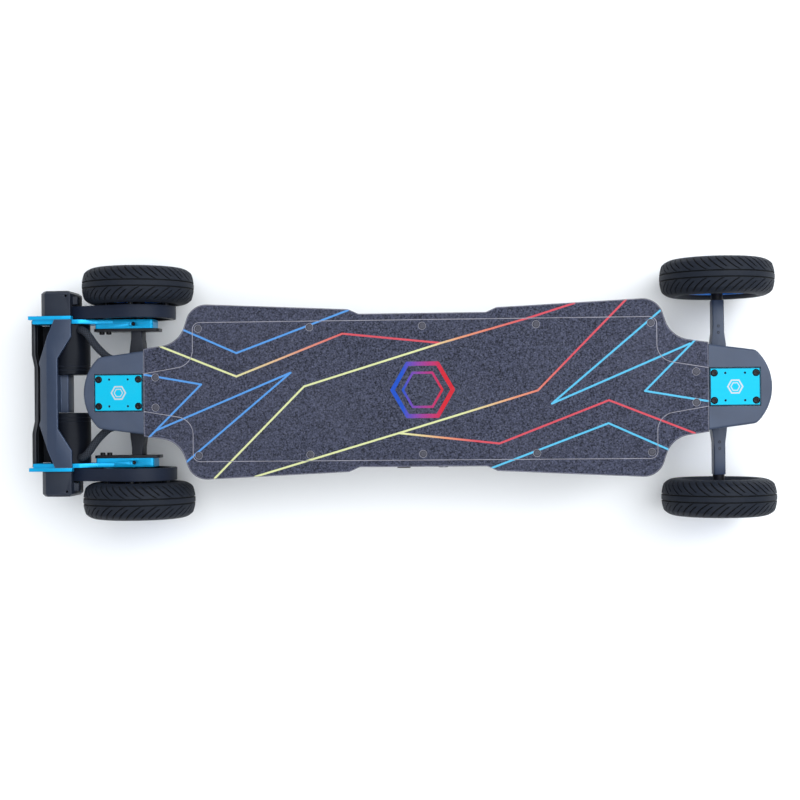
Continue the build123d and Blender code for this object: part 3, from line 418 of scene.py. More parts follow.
grip_print, tree, shader = blank_material("printed_grip", 0.85, Specular_IOR_Level=0.25)
grit_place = object_place(tree)
coarse = noise(tree, grit_place, 430.0, 3.0)
grit_cells = add_node(
    tree, "ShaderNodeTexVoronoi", {"Vector": grit_place, "Scale": 950.0}
).outputs["Distance"]
grit_tint = add_node(tree, "ShaderNodeTexVoronoi", {"Vector": grit_place, "Scale": 620.0}).outputs["Color"]
sparkle = add_node(tree, "ShaderNodeSeparateColor", {0: grit_tint}).outputs[0]
worn_cloud = noise(tree, grit_place, 9.0, 3.0)
grit_dark, grit_light = paint(28, 31, 43), paint(90, 94, 118)
grain_glint, grit_worn = paint(130, 134, 158), paint(100, 102, 120)
grit = mix_colour(tree, ramp_between(tree, coarse, 0.34, 0.66), grit_dark, grit_light)
grit = mix_colour(tree, ramp_between(tree, sparkle, 0.85, 0.98, 0.0, 0.28), grit, grain_glint)
grit = mix_colour(tree, ramp_between(tree, worn_cloud, 0.35, 0.7, 0.0, 0.16), grit, grit_worn)
print_place = flat_place(tree, deck_middle_x)
print_x = add_node(tree, "ShaderNodeSeparateXYZ", {0: print_place}).outputs["X"]
half_board = grip_high.x - deck_middle_x
across_board = ramp_between(tree, print_x, -half_board, half_board)
inked = grit
ink_cover = ramp_between(tree, coarse, 0.2, 0.5, 0.84, 1.0)


def fade(tree, stops):
    """Colour along the board from its stops, in metres from the middle."""
    fading = add_node(tree, "ShaderNodeValToRGB", {"Fac": across_board})
    places = [(x + half_board) / (2 * half_board) for x, _ in stops]
    elements = fading.color_ramp.elements
    while len(elements) < len(stops):
        elements.new(0.5)
    for element, at, (_, colour) in zip(elements, places, stops):
        element.position, element.color = at, colour
    return fading.outputs["Color"]


for stops, corners in printed_lines:
    mask = stroke_mask(tree, print_place, [(x / 1000, y / 1000) for x, y in corners], print_width / 2)
    tint = fade(tree, stops) if len(stops) > 1 else stops[0][1]
    inked = mix_colour(tree, math_node(tree, "MULTIPLY", mask, ink_cover), inked, tint)
# a plain six-sided mark in the middle, fading from blue to red towards the nose
mark_fade = [(-0.03, paint(36, 90, 214)), (0.03, paint(232, 44, 60))]
for mark_radius, mark_half_width in ((0.046, 0.0032), (0.03, 0.0018)):
    mask = stroke_mask(tree, print_place, hexagon(mark_radius), mark_half_width)
    tint = fade(tree, mark_fade)
    inked = mix_colour(tree, math_node(tree, "MULTIPLY", mask, ink_cover), inked, tint)
tree.links.new(inked, shader.inputs["Base Color"])
grit_height = math_node(tree, "ADD", coarse, ramp_between(tree, grit_cells, 0.0, 0.7, 0.7, 0.0))
grit_bump = add_node(tree, "ShaderNodeBump", {"Height": grit_height, "Distance": 0.0005, "Strength": 0.7})
tree.links.new(grit_bump.outputs[0], shader.inputs["Normal"])
tree.links.new(ramp_between(tree, sparkle, 0.8, 1.0, 0.9, 0.55), shader.inputs["Roughness"])
coat_node("grip_rim", grip_print)
coat_node("grip_lid", grip_print)


def outline(corners, radii, step=0.003):
    """Points along a closed outline whose corners are rounded, in order."""
    found = []
    for i, (x, y) in enumerate(corners):
        corner, radius = Vector((x, y)), radii[i]
        to_last = (Vector(corners[i - 1]) - corner).normalized()
        to_next = (Vector(corners[(i + 1) % len(corners)]) - corner).normalized()
        if radius <= 0:
            found.append(corner)
            continue
        half = acos(max(-1.0, min(1.0, to_last.dot(to_next)))) / 2
        centre = corner + (to_last + to_next).normalized() * (radius / sin(half))
        start = corner + to_last * (radius / (sin(half) / cos(half))) - centre
        sweep = pi - 2 * half
        turn = 1 if to_last.cross(to_next) < 0 else -1
        count = max(2, int(radius * sweep / step))
        for k in range(count + 1):
            a = turn * sweep * k / count
            turned = (start.x * cos(a) - start.y * sin(a), start.x * sin(a) + start.y * cos(a))
            found.append(centre + Vector(turned))
    return found


def four_way(quarter):
    """Corners of an outline that is the same in all four quarters."""
    lower = [(x, -y) for x, y in reversed(quarter)]
    back = [(-x, -y) for x, y in quarter]
    upper = [(-x, y) for x, y in reversed(quarter)]
    return quarter + lower + back + upper


def new_geometry_tree(name, inputs):
    """A geometry tree that takes a mesh and named sizes, and the sockets it starts from."""
    tree = bpy.data.node_groups.new(name, "GeometryNodeTree")
    tree.interface.new_socket("Geometry", in_out="INPUT", socket_type="NodeSocketGeometry")
    for label, kind in inputs + [("Finish", "Material")]:
        tree.interface.new_socket(label, in_out="INPUT", socket_type="NodeSocket" + kind)
    tree.interface.new_socket("Geometry", in_out="OUTPUT", socket_type="NodeSocketGeometry")
    return tree, tree.nodes.new("NodeGroupInput").outputs


def end_tree(tree, given, geometry):
    """Closes a geometry tree: real geometry, one finish, out."""
    real = add_node(tree, "GeometryNodeRealizeInstances", {"Geometry": geometry}).outputs[0]
    faced = add_node(
        tree, "GeometryNodeSetMaterial", {"Geometry": real, "Material": given["Finish"]}
    ).outputs[0]
    add_node(tree, "NodeGroupOutput", {"Geometry": faced})


def settle(name, made, smooth=35):
    """The evaluated object as a plain mesh: doubles merged, normals outwards, hard edges sharp."""
    plain = bpy.data.meshes.new_from_object(made.evaluated_get(bpy.context.evaluated_depsgraph_get()))
    bpy.data.objects.remove(made)
    work = bmesh.new()
    work.from_mesh(plain)
    bmesh.ops.remove_doubles(work, verts=work.verts, dist=2e-6)
    bmesh.ops.recalc_face_normals(work, faces=work.faces)
    for face in work.faces:
        face.smooth = True
    work.to_mesh(plain)
    work.free()
    plain.set_sharp_from_angle(angle=radians(smooth))
    plain.name = name
    return keep(name, plain)


def grow(name, base, tree, values, smooth=35):
    """Runs a geometry tree on a base mesh with these inputs and settles the result."""
    made = keep(name + "_base", base)
    modifier = made.modifiers.new("made", "NODES")
    modifier.node_group = tree
    for item in tree.interface.items_tree:
        if item.in_out == "INPUT" and item.name in values:
            modifier[item.identifier] = values[item.name]
    return settle(name, made, smooth)


def fit(piece, body, slot, *nodes):
    """Puts a finished piece on its body, in place of the parts it stands for; its slot is not used."""
    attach(piece, body)
    if nodes:
        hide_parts(*nodes)
    return piece


# ------------------------------------------------------------------ cut edges of the grip and painted highlights round its screw openings
# Where the sheet is cut, its pale backing shows as a hair line: along the lid's seam and round
# the outside. A pale ring round the opening over each lid screw is a painted highlight on its edge.
edge_bead, given = new_geometry_tree("edge bead", [("Bead Radius", "Float"), ("Bead Sides", "Int")])
bead_path = add_node(edge_bead, "GeometryNodeMeshToCurve", {"Mesh": given["Geometry"]}).outputs[0]
bead_round = add_node(
    edge_bead,
    "GeometryNodeCurvePrimitiveCircle",
    {"Resolution": given["Bead Sides"], "Radius": given["Bead Radius"]},
).outputs[0]
bead = add_node(
    edge_bead,
    "GeometryNodeCurveToMesh",
    {"Curve": bead_path, "Profile Curve": bead_round, "Fill Caps": True},
).outputs[0]
end_tree(edge_bead, given, bead)


def path_mesh(name, runs, height):
    """Several open or closed runs of flat points as one mesh of edges."""
    mesh = bpy.data.meshes.new(name)
    points, edges = [], []
    for run, closed in runs:
        first = len(points)
        points += [(x, y, height) for x, y in run]
        edges += [(first + i, first + i + 1) for i in range(len(run) - 1)]
        if closed:
            edges.append((len(points) - 1, first))
    mesh.from_pydata(points, edges, [])
    return mesh


def shifted(points, x):
    """Flat points moved along the board."""
    return [(p[0] + x, p[1]) for p in points]


grip_top = grip_high.z
lid_half_length, lid_half_width, lid_neck, neck_flare = 0.3532, 0.1063, 0.0283, 0.013
seam_middle = 0.0006
lid_quarter = [
    (lid_half_length + seam_middle, lid_half_width + seam_middle),
    (lid_half_length + seam_middle, lid_neck + neck_flare + seam_middle),
    (half_board, lid_neck + seam_middle),
]
lid_radii = [0.0106, 0.0274, 0.0]
seam = outline(four_way(lid_quarter), (lid_radii + lid_radii[::-1]) * 2)
seam = shifted(seam, deck_middle_x)
seam_from_back = seam[len(seam) // 2:] + seam[:len(seam) // 2]
seam_runs = [([p for p in seam_from_back if p[1] > 0], False), ([p for p in seam if p[1] < 0], False)]
deck_quarter = [(0.097, 0.117), (0.113, 0.1242), (0.3557, 0.1356), (0.3747, 0.0758), (half_board, 0.0675)]
deck_radii = [0.006, 0.006, 0.032, 0.042, 0.0]
rim_line = outline(four_way(deck_quarter), (deck_radii + deck_radii[::-1]) * 2)
edge_inset = 0.0009
rim_line = [
    Vector((x * (1 - edge_inset / half_board), y - edge_inset * (1 if y > 0 else -1))) for x, y in rim_line
]
rim_line = shifted(rim_line, deck_middle_x)
side_screws_along, side_screws_out = (-0.345, -0.1727, 0, 0.1727, 0.345), 0.0975
end_screws_along, end_screws_out = (-0.412, 0.412), 0.0232
lid_screw_places = [
    (deck_middle_x + x, s * out)
    for along, out in ((side_screws_along, side_screws_out), (end_screws_along, end_screws_out))
    for x in along
    for s in (1, -1)
]
opening_radius, opening_points = 0.0057, 32
opening_angles = [2 * pi * k / opening_points for k in range(opening_points)]
openings = [
    ([(x + opening_radius * cos(a), y + opening_radius * sin(a)) for a in opening_angles], True)
    for x, y in lid_screw_places
]
bead_look = {"grain": 2000, "depth": 0.00005, "spread": 0.3, "dust": 0}
backing_pale = finish("grip_backing", paint(158, 156, 168), 0.7, **bead_look)
cut_face_and_highlight = finish("grip_cut_face_and_highlight", paint(146, 145, 158), 0.7, **bead_look)
# each cut edge and highlight ring: where it runs, how far its middle lies below the top, its radius and its
# finish
edge_beads = {
    "lid_seam_edge": (seam_runs, 0.0005, 0.0007, backing_pale),
    "grip_outer_edge": ([(rim_line, True)], 0.00035, 0.0005, cut_face_and_highlight),
    # a pale ring round each screw opening: painted highlight on the hole's edge
    "screw_opening_edges": (openings, 0.0004, 0.0005, cut_face_and_highlight),
}
for name, (runs, below_top, bead_radius, bead_finish) in edge_beads.items():
    bead_sizes = {"Bead Radius": bead_radius, "Bead Sides": 8, "Finish": bead_finish}
    bead_piece = grow(name, path_mesh(name + "_path", runs, grip_top - below_top), edge_bead, bead_sizes)
    fit(bead_piece, "deck", "grip")

# ------------------------------------------------------------------ lid screws
# Fourteen dull black button-head screws with a hexagon socket hold the lid down. They
# sit below the grip, each in its own round opening.
set_out, given = new_geometry_tree("set out", [("Part", "Object")])
one_part = add_node(set_out, "GeometryNodeObjectInfo", {"Object": given["Part"]}).outputs["Geometry"]
turn_of = add_node(
    set_out, "GeometryNodeInputNamedAttribute", {"Name": "turn"}, data_type="FLOAT_VECTOR"
).outputs[0]
placed_parts = add_node(
    set_out,
    "GeometryNodeInstanceOnPoints",
    {"Points": given["Geometry"], "Instance": one_part, "Rotation": turn_of},
).outputs[0]
end_tree(set_out, given, placed_parts)


def turned_rings(steps, sides=24, closed=False):
    """Points and faces of rings stacked along Z.

    A step is (radius, height), or (distance to a flat, height, 6) for a hexagon.
    """
    points, faces = [], []
    for radius, height, *flats in steps:
        for k in range(sides):
            a = 2 * pi * k / sides
            reach = radius
            if flats:
                step = pi / flats[0]
                reach = radius / cos((a % (2 * step)) - step)
            points.append((reach * cos(a), reach * sin(a), height))
    count = len(steps)
    for i in range(count if closed else count - 1):
        lower, upper = i * sides, ((i + 1) % count) * sides
        for k in range(sides):
            after = (k + 1) % sides
            faces.append((lower + k, lower + after, upper + after, upper + k))
    if not closed:
        faces.append(tuple(reversed(range(sides))))
        faces.append(tuple((count - 1) * sides + k for k in range(sides)))
    return points, faces


def socket_screw(head_radius, head_height, socket, shank_radius, shank_length, crown=0.25):
    """Rings of a socket-head screw, its head on the zero plane. Crown rounds the head's edge."""
    ease = head_height * crown
    return [
        (shank_radius * 0.7, -shank_length),
        (shank_radius, -shank_length + shank_radius * 0.4),
        (shank_radius, 0),
        (head_radius, 0),
        (head_radius, head_height - ease),
        (head_radius - ease * 0.4, head_height - ease * 0.35),
        (head_radius - ease, head_height),
        (socket * 1.12, head_height),
        (socket, head_height - 0.0003, 6),
        (socket, head_height * 0.4, 6),
        (socket * 0.3, head_height * 0.3),
    ]


def set_parts(name, steps, places, material, sides=24, closed=False, smooth=35):
    """Copies of one turned part at places, each ((x, y, z), direction of its +Z)."""
    part = keep(name + "_part", mesh_of(name + "_part", *turned_rings(steps, sides, closed)))
    spots = bpy.data.meshes.new(name + "_spots")
    spots.from_pydata([tuple(at) for at, _ in places], [], [])
    turns = spots.attributes.new("turn", "FLOAT_VECTOR", "POINT")
    for i, (_, direction) in enumerate(places):
        turns.data[i].vector = Vector(direction).to_track_quat("Z", "Y").to_euler()
    made = grow(name, spots, set_out, {"Part": part, "Finish": material}, smooth)
    bpy.data.objects.remove(part)
    return made


black_oxide = finish(
    "black_oxide_steel", paint(38, 38, 42), 0.36, 0.85, grain=3000, depth=0.00003, radius=0.0004,
    worn=paint(120, 120, 126),
)
lid_screw_steps = socket_screw(0.0046, 0.0008, 0.0019, 0.0016, 0.0110, 0.5)
dull_black = finish(
    "dull_black_screw", paint(78, 78, 92), 0.6, 0.1, grain=2400, depth=0.00004, radius=0.0003,
    worn=paint(140, 140, 156),
)
lid_screws = set_parts(
    "lid_button_screws",
    lid_screw_steps,
    [((x, y, grip_low.z), (0, 0, 1)) for x, y in lid_screw_places],
    dull_black,
)
fit(lid_screws, "deck", "fastener", "lid_screws")

# ------------------------------------------------------------------ end caps
# Each end of the deck is finished by a moulded cap of satin grey nylon, pushed over the
# tongue. Its upper edge is rounded and its top has a window for the truck plate.
cap_nylon = finish(
    "cap_nylon", paint(72, 85, 110), 0.48, grain=1100, depth=0.00009, cloud=14, spread=0.16,
    worn=paint(150, 160, 180), radius=0.0012, dust=0.05, Specular_IOR_Level=0.35,
)
coat_node("nose_cap", cap_nylon)
coat_node("tail_cap", cap_nylon)

# ------------------------------------------------------------------ truck plates and bolts
# A bright cyan anodised plate fills the window of each cap. Four black socket bolts go
# down through it into nyloc nuts under the baseplate.


def stretched_place(tree, scale):
    """Object coordinates stretched along the brushing or turning of a metal."""
    return add_node(tree, "ShaderNodeMapping", {"Vector": object_place(tree), "Scale": scale}).outputs[0]


plate_low, plate_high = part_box("front_truck_plate")
rear_plate_low, rear_plate_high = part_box("rear_truck_plate")
plate_centres = [(plate_low.x + plate_high.x) / 2, (rear_plate_low.x + rear_plate_high.x) / 2]
plate_half = (plate_high - plate_low) / 2
gap_shade_inset, gap_shade_half_width, cyan_roughness = 0.0006, 0.0009, 0.36
gap_shade_path = [
    (sx * (plate_half.x - gap_shade_inset), sy * (plate_half.y - gap_shade_inset))
    for sx, sy in ((1, 1), (1, -1), (-1, -1), (-1, 1), (1, 1))
]
for end, centre_x in zip(("front", "rear"), plate_centres):
    plate_cyan, tree, shader = blank_material(
        f"{end}_plate_cyan", cyan_roughness, 0.05, Specular_IOR_Level=0.1
    )
    brushing = noise(tree, stretched_place(tree, (60.0, 2400.0, 2400.0)), 1.0, 3.0)
    dyed = mix_colour(tree, brushing, paint(0, 206, 255), paint(24, 222, 255))
    etched = stroke_mask(tree, flat_place(tree, centre_x), hexagon(0.011), 0.0011)
    etched_small = stroke_mask(tree, flat_place(tree, centre_x), hexagon(0.0065), 0.0007)
    marked = mix_colour(tree, math_node(tree, "MAXIMUM", etched, etched_small), dyed, paint(224, 232, 236))
    # a dark line just inside the plate's rim: painted shade in the gap between the plate and the cap's
    # window
    gap_shade = stroke_mask(tree, flat_place(tree, centre_x), gap_shade_path, gap_shade_half_width)
    marked = mix_colour(tree, gap_shade, marked, paint(12, 66, 92))
    finish_tree(
        tree, shader, marked, cyan_roughness, grain=2500, depth=0.00002, cloud=20, spread=0.1,
        worn=paint(150, 232, 252), radius=0.0005, dust=0.03,
    )
    coat_node(f"{end}_truck_plate", plate_cyan)
bolt_x, bolt_y, counterbore, bolt_past_nut = 0.031, 0.02065, 0.0045, 0.006
bolt_seat = plate_high.z - counterbore
truck_bolt_places = [
    ((centre + sx * bolt_x, sy * bolt_y, bolt_seat), (0, 0, 1))
    for centre in plate_centres for sx in (1, -1) for sy in (1, -1)
]
truck_bolts = set_parts(
    "truck_plate_bolts", socket_screw(0.005, 0.0043, 0.0025, 0.003, 0.0274), truck_bolt_places, black_oxide
)
fit(truck_bolts, "deck", "fastener", "truck_bolts")
nut_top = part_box("truck_bolts")[0].z + bolt_past_nut
nut_steps = [
    (0.0048, 0.0, 6), (0.0048, -0.0036, 6), (0.0044, -0.0038), (0.0042, -0.005), (0.0031, -0.005),
    (0.0031, 0.0),
]
nut_places = [((at[0], at[1], nut_top), (0, 0, 1)) for at, _ in truck_bolt_places]
fit(set_parts("truck_plate_nuts", nut_steps, nut_places, black_oxide, closed=True), "deck", "fastener")

# ------------------------------------------------------------------ switch and charging port
# A steel push button in a ring, and a rubber-capped charging port, sit side by side in
# the right-hand edge of the waist.
bright_steel = finish(
    "bright_steel", paint(176, 178, 182), 0.24, 1.0, grain=2600, depth=0.00002, spread=0.08, dust=0.03
)
coat_node("button_ring", bright_steel)
coat_node("power_button", finish("button_steel", paint(150, 152, 158), 0.3, 0.9, grain=2600, depth=0.00002))
coat_node("charge_port", finish("port_rubber", paint(28, 28, 31), 0.72, grain=1800, dust=0.1))

# ------------------------------------------------------------------ trucks
# Cast alloy baseplates under the caps carry the kingpins and the pivot cups. Each hanger
# is a squared beam that swings between two urethane bushings. The front one is coated satin
# slate; the rear one, in the motors' shadow, gets a darker copy of that coating as painted shade.
truck_slate = finish(
    "truck_coating", paint(54, 68, 94), 0.42, 0.2, grain=1500, depth=0.00006, worn=paint(110, 118, 138),
    radius=0.001, dust=0.08,
)
# a darker copy of the slate coating for the rear hanger: painted shade from the motors around it
rear_hanger_shaded_coating = finish(
    "rear_hanger_painted_shade", paint(25, 31, 44), 0.5, 0.1, grain=1500, depth=0.00006, worn=paint(72, 78, 94),
    radius=0.001, Specular_IOR_Level=0.3,
)


def middle_of(node):
    """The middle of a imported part's box."""
    low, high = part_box(node)
    return (low + high) / 2


def eased(name, node, width, material, segments=2):
    """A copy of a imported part, merged, with its hard edges broken by a small round."""
    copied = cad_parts[node].data.copy()
    copied.materials.clear()
    copied.materials.append(material)
    work = bmesh.new()
    work.from_mesh(copied)
    bmesh.ops.remove_doubles(work, verts=work.verts, dist=3e-6)
    bmesh.ops.dissolve_limit(
        work, angle_limit=radians(0.6), use_dissolve_boundaries=False, verts=work.verts, edges=work.edges
    )
    work.to_mesh(copied)
    work.free()
    for attribute in ("custom_normal", "sharp_edge", "sharp_face"):
        if attribute in copied.attributes:
            copied.attributes.remove(copied.attributes[attribute])
    made = keep(name + "_copy", copied)
    rounding = made.modifiers.new("eased", "BEVEL")
    rounding.width, rounding.segments = width, segments
    rounding.limit_method, rounding.angle_limit = "ANGLE", radians(32)
    rounding.use_clamp_overlap = True
    return settle(name, made, 28)


for end, coating in (("front", truck_slate), ("rear", rear_hanger_shaded_coating)):
    coat_node(f"{end}_baseplate", truck_slate)
    beam = eased(f"{end}_hanger_beam", f"{end}_hanger", 0.0011, coating)
    fit(beam, f"{end}_truck", "truck_black", f"{end}_hanger")
    coat_node(f"{end}_axle", black_oxide)
coat_node("pivot_cups", finish("cup_rubber", paint(40, 40, 44), 0.7))
# two small set screws sunk in the top of the front hanger, near each end
front_axle_at = middle_of("front_axle")
beam_half_height, set_screws_out = 0.014, (0.084, 0.094)
beam_top = front_axle_at.z + beam_half_height
set_screw_steps = [
    (0.0022, -0.004), (0.0022, -0.0001), (0.0020, 0.0002), (0.0012, 0.0002), (0.0011, -0.0014, 6),
    (0.0004, -0.0016),
]
set_screw_spots = [((front_axle_at.x, s * y, beam_top), (0, 0, 1)) for s in (1, -1) for y in set_screws_out]
set_screws = set_parts("hanger_set_screws", set_screw_steps, set_screw_spots, black_oxide)
fit(set_screws, "front_truck", "fastener")

urethane, tree, shader = blank_material(
    "bushing_urethane", 0.34, Subsurface_Weight=0.25, Subsurface_Scale=0.004, Coat_Weight=0.1
)
finish_tree(
    tree, shader, paint(52, 54, 60), 0.36, grain=1400, depth=0.00005, cloud=60, spread=0.12,
    worn=paint(96, 98, 104), radius=0.0006, dust=0.04,
)
seat_reach, seat_half, bushing_height, kingpin_lean = 0.024, 0.006, 0.012, radians(45)
bushing_steps = [
    (0.0052, 0.0), (0.0118, 0.0), (0.0134, 0.0008), (0.01385, 0.0028), (0.0140, 0.006),
    (0.01385, 0.0092), (0.0134, 0.0112), (0.0118, 0.012), (0.0052, 0.012),
]
kingpin_places = []
for end, out in (("front", 1), ("rear", -1)):
    steer_axis = Vector((out * cos(kingpin_lean), 0, sin(kingpin_lean)))
    down_pin = Vector((out * sin(kingpin_lean), 0, -cos(kingpin_lean)))
    seat = middle_of(f"{end}_axle") + steer_axis * seat_reach
    for label, sign in (("board", -1), ("road", 1)):
        inner = seat + down_pin * (sign * seat_half)
        bushing = set_parts(
            f"{end}_{label}_side_bushing", bushing_steps, [(inner, down_pin * sign)], urethane, 40, True, 50
        )
        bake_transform(bushing)
        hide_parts(f"{end}_bushings")
    kingpin_places.append((seat + down_pin * (seat_half + bushing_height), down_pin))
kingpin_steps = [
    (0.0049, -0.0526), (0.0049, -0.0), (0.0128, 0.0), (0.013, 0.0003), (0.013, 0.0017), (0.0128, 0.002),
    (0.0074, 0.002), (0.0078, 0.0024, 6), (0.0078, 0.0074, 6), (0.0071, 0.0081), (0.0068, 0.0098),
    (0.0052, 0.0098), (0.0049, 0.0095), (0.0049, 0.0126), (0.0041, 0.0131),
]
fit(
    set_parts("kingpins_and_nuts", kingpin_steps, kingpin_places, bright_steel, 36, smooth=25),
    "deck", "steel", "kingpins",
)

# ------------------------------------------------------------------ tyres
# Pneumatic black rubber, moulded with a plain rib between two round-the-tyre grooves and
# curved grooves that sweep back over both shoulders. The sidewalls are plain but for fine rings.
tyre_low, tyre_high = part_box("front_left_tyre")
tyre_radius = (tyre_high.z - tyre_low.z) / 2
tread_pitches = 22
crown_drop, shoulder_at = 0.0036, 0.020
bulge_radius, bulge_arc, bulge_centre, bulge_turn = 0.066, 0.0231, 0.0054, radians(50.8)
clinch_arc, clinch_centre, clinch_turn = 0.01028, 0.01822, radians(82.8)
rib_edge, rib_groove_edge, groove_cut = 0.0040, 0.0056, 0.0022
long_groove_from, long_groove_ramp = 0.0062, 0.0010
short_groove_from, short_groove_ramp = 0.0104, 0.0014
grooves_to, groove_end_ramp = 0.0262, 0.004
sweep_back, sweep_from, sweep_run, sweep_shape = 0.034 / tyre_radius, 0.004, 0.022, 0.62
widest = 0.027

tyre_rubber, tree, shader = blank_material("tyre_rubber", 0.62, Specular_IOR_Level=0.14)
# points in a groove are painted near black: painted shade in the grooves
groove_shade_mask = add_node(tree, "ShaderNodeAttribute", attribute_name="groove").outputs["Fac"]
tread_tone = noise(tree, None, 30.0, 4.0)
tread_colour = mix_colour(tree, tread_tone, paint(23, 28, 38), paint(40, 47, 61))
tread_colour = mix_colour(tree, groove_shade_mask, tread_colour, paint(6, 6, 8))
finish_tree(
    tree, shader, tread_colour, 0.6, grain=900, depth=0.00008, cloud=30, spread=0.22,
    worn=paint(56, 60, 68), radius=0.0008, dust=0.03,
)
# from the rib to the shoulder: how far out each row of the tread lies
crown_rows = [
    0, 0.0018, 0.0034, 0.0037, 0.0041, 0.0055, 0.0059, 0.0064, 0.0072, 0.0082, 0.0095, 0.0108, 0.0112,
    0.0122, 0.0134, 0.0146, 0.0158, 0.017, 0.0182, 0.0192, 0.020,
]
# from the toe of the bead up the inside of the carcass: (radius, offset)
inside_rows = [
    (0.0508, 0.0186), (0.0508, 0.012), (0.0568, 0.015), (0.063, 0.0222), (0.0705, 0.0236),
    (0.0765, 0.0205), (0.079, 0.017), (0.0812, 0.008), (0.0815, 0.0),
]


def in_rib_groove(y):
    """Whether a point this far from the middle lies in the groove beside the rib."""
    return rib_edge < y < rib_groove_edge


def tread_rows():
    """One side of the tyre's section as (radius, offset), from mid-tread round to inside it."""
    rows = []
    for y in crown_rows:
        radius = tyre_radius - crown_drop * (y / shoulder_at) ** 2
        rows.append((radius - groove_cut if in_rib_groove(y) else radius, y))
    for k in range(1, 13):
        a = bulge_turn * (1 - k / 12)
        rows.append((bulge_radius + bulge_arc * sin(a), bulge_centre + bulge_arc * cos(a)))
    for k in range(1, 9):
        a = clinch_turn * k / 8
        rows.append((bulge_radius - clinch_arc * sin(a), clinch_centre + clinch_arc * cos(a)))
    return rows + inside_rows


columns = [  # share of a pitch, depth of the long groove, depth of the short one
    (0.0, 0, 0), (0.09, 0, 0), (0.16, 0, 0), (0.19, 1, 0), (0.27, 1, 0),
    (0.30, 0, 0), (0.37, 0, 0), (0.45, 0, 0),
    (0.53, 0, 0), (0.60, 0, 0), (0.66, 0, 0), (0.69, 0, 1), (0.76, 0, 1),
    (0.79, 0, 0), (0.87, 0, 0), (0.94, 0, 0),
    (1.0, 0, 0),
]
side_rings = [(0.0735, 0.0007, 0.0005), (0.0625, 0.0007, 0.0004)]  # radius, half width, height
half_rows = tread_rows()
section = half_rows + [(r, -y) for r, y in reversed(half_rows[1:-1])]


def held(share):
    """A share kept between nothing and all."""
    return max(0.0, min(1.0, share))


def groove_depth(offset, on_long, on_short):
    """How deep a shoulder groove is at this distance from the tyre's middle."""
    y = abs(offset)
    fade_out = held((grooves_to - y) / groove_end_ramp)
    long_share = held((y - long_groove_from) / long_groove_ramp) * fade_out
    short_share = held((y - short_groove_from) / short_groove_ramp) * fade_out
    return groove_cut * max(on_long * long_share, on_short * short_share)


def tread_pitch():
    """One pitch of the tyre, about the axle: its points, its faces and which points lie in a groove, to get
    painted shade.
    """
    points, faces, groove_shaded = [], [], []
    pitch = 2 * pi / tread_pitches
    outer_rows = len(half_rows) - len(inside_rows)
    shade_from_depth = 0.0006  # a groove is painted dark, as painted shade, once it is deeper than this
    for i, (radius, offset) in enumerate(section):
        outside = i < outer_rows or i > len(section) - outer_rows
        y = min(abs(offset), widest)
        back = sweep_back * (max(0.0, y - sweep_from) / sweep_run) ** sweep_shape if outside else sweep_back
        bulge = sum(h * max(0.0, 1 - abs(radius - at) / w) for at, w, h in side_rings) if outside else 0.0
        side = 1 if offset > 0 else -1
        for share, on_long, on_short in columns:
            depth = groove_depth(offset, on_long, on_short) if outside and radius > bulge_radius else 0.0
            painted_dark = depth > shade_from_depth or (in_rib_groove(abs(offset)) and outside)
            groove_shaded.append(1.0 if painted_dark else 0.0)
            reach = radius - depth
            a = share * pitch - back
            points.append((reach * sin(a), offset + side * bulge * 0.8, reach * cos(a)))
    wide, rows = len(columns), len(section)
    for i in range(rows):
        for k in range(wide - 1):
            a, b = i * wide + k, ((i + 1) % rows) * wide + k
            faces.append((a, a + 1, b + 1, b))
    return points, faces, groove_shaded


round_axle, given = new_geometry_tree("round the axle", [("Count", "Int"), ("Centre", "Vector")])
turn_points = add_node(
    round_axle, "GeometryNodePoints", {"Count": given["Count"], "Position": given["Centre"]}
)
turn_index = add_node(round_axle, "GeometryNodeInputIndex").outputs[0]
turn_share = math_node(round_axle, "DIVIDE", turn_index, given["Count"])
turn_angle = math_node(round_axle, "MULTIPLY", turn_share, 2 * pi)
turn_euler = add_node(round_axle, "ShaderNodeCombineXYZ", {"Y": turn_angle}).outputs[0]
turned_copies = add_node(
    round_axle,
    "GeometryNodeInstanceOnPoints",
    {"Points": turn_points.outputs[0], "Instance": given["Geometry"], "Rotation": turn_euler},
).outputs[0]
end_tree(round_axle, given, turned_copies)


def all_round(name, points, faces, count, centre, material, smooth=35, groove_shaded=None):
    """A sector drawn about a crosswise axle, repeated all round it at its real place.

    Groove shaded marks the points that lie in a groove, which the rubber's finish paints near black as
    painted shade.
    """
    values = {"Count": count, "Centre": tuple(centre), "Finish": material}
    sector = mesh_of(name + "_sector", points, faces)
    if groove_shaded is not None:
        sector.attributes.new("groove", "FLOAT", "POINT").data.foreach_set("value", groove_shaded)
    return grow(name, sector, round_axle, values, smooth)


both_sides = (("left", 1), ("right", -1))
wheels = {
    f"{end}_{side_name}": (middle_of(f"{end}_{side_name}_tyre"), side)
    for end in ("front", "rear")
    for side_name, side in both_sides
}
pitch_points, pitch_faces, pitch_groove_shade = tread_pitch()
for wheel, (centre, side) in wheels.items():
    tyre = all_round(
        f"{wheel}_treaded_tyre", pitch_points, pitch_faces, tread_pitches, centre, tyre_rubber, 40,
        pitch_groove_shade,
    )
    fit(tyre, f"{wheel}_wheel", "tyre", f"{wheel}_tyre")

# ------------------------------------------------------------------ rims and bearings
# Two blue anodised alloy halves bolt together through the web, five spokes between the
# windows. A shielded bearing is pressed into each side, and a nyloc nut holds the wheel on.
rim_blue = finish(
    "rim_anodising", paint(34, 140, 255), 0.32, 0.55, grain=2600, depth=0.00002, cloud=40, spread=0.12,
    worn=paint(120, 200, 255), radius=0.0008, dust=0.06,
)
bearing_steel = finish("bearing_steel", paint(140, 142, 148), 0.28, 1.0, grain=3000, depth=0.00002)
spoke_count, rim_web_half, hub_bolt_circle = 5, 0.006, 0.0362
hub_bolt_steps = socket_screw(0.0031, 0.003, 0.0015, 0.0016, 0.004)
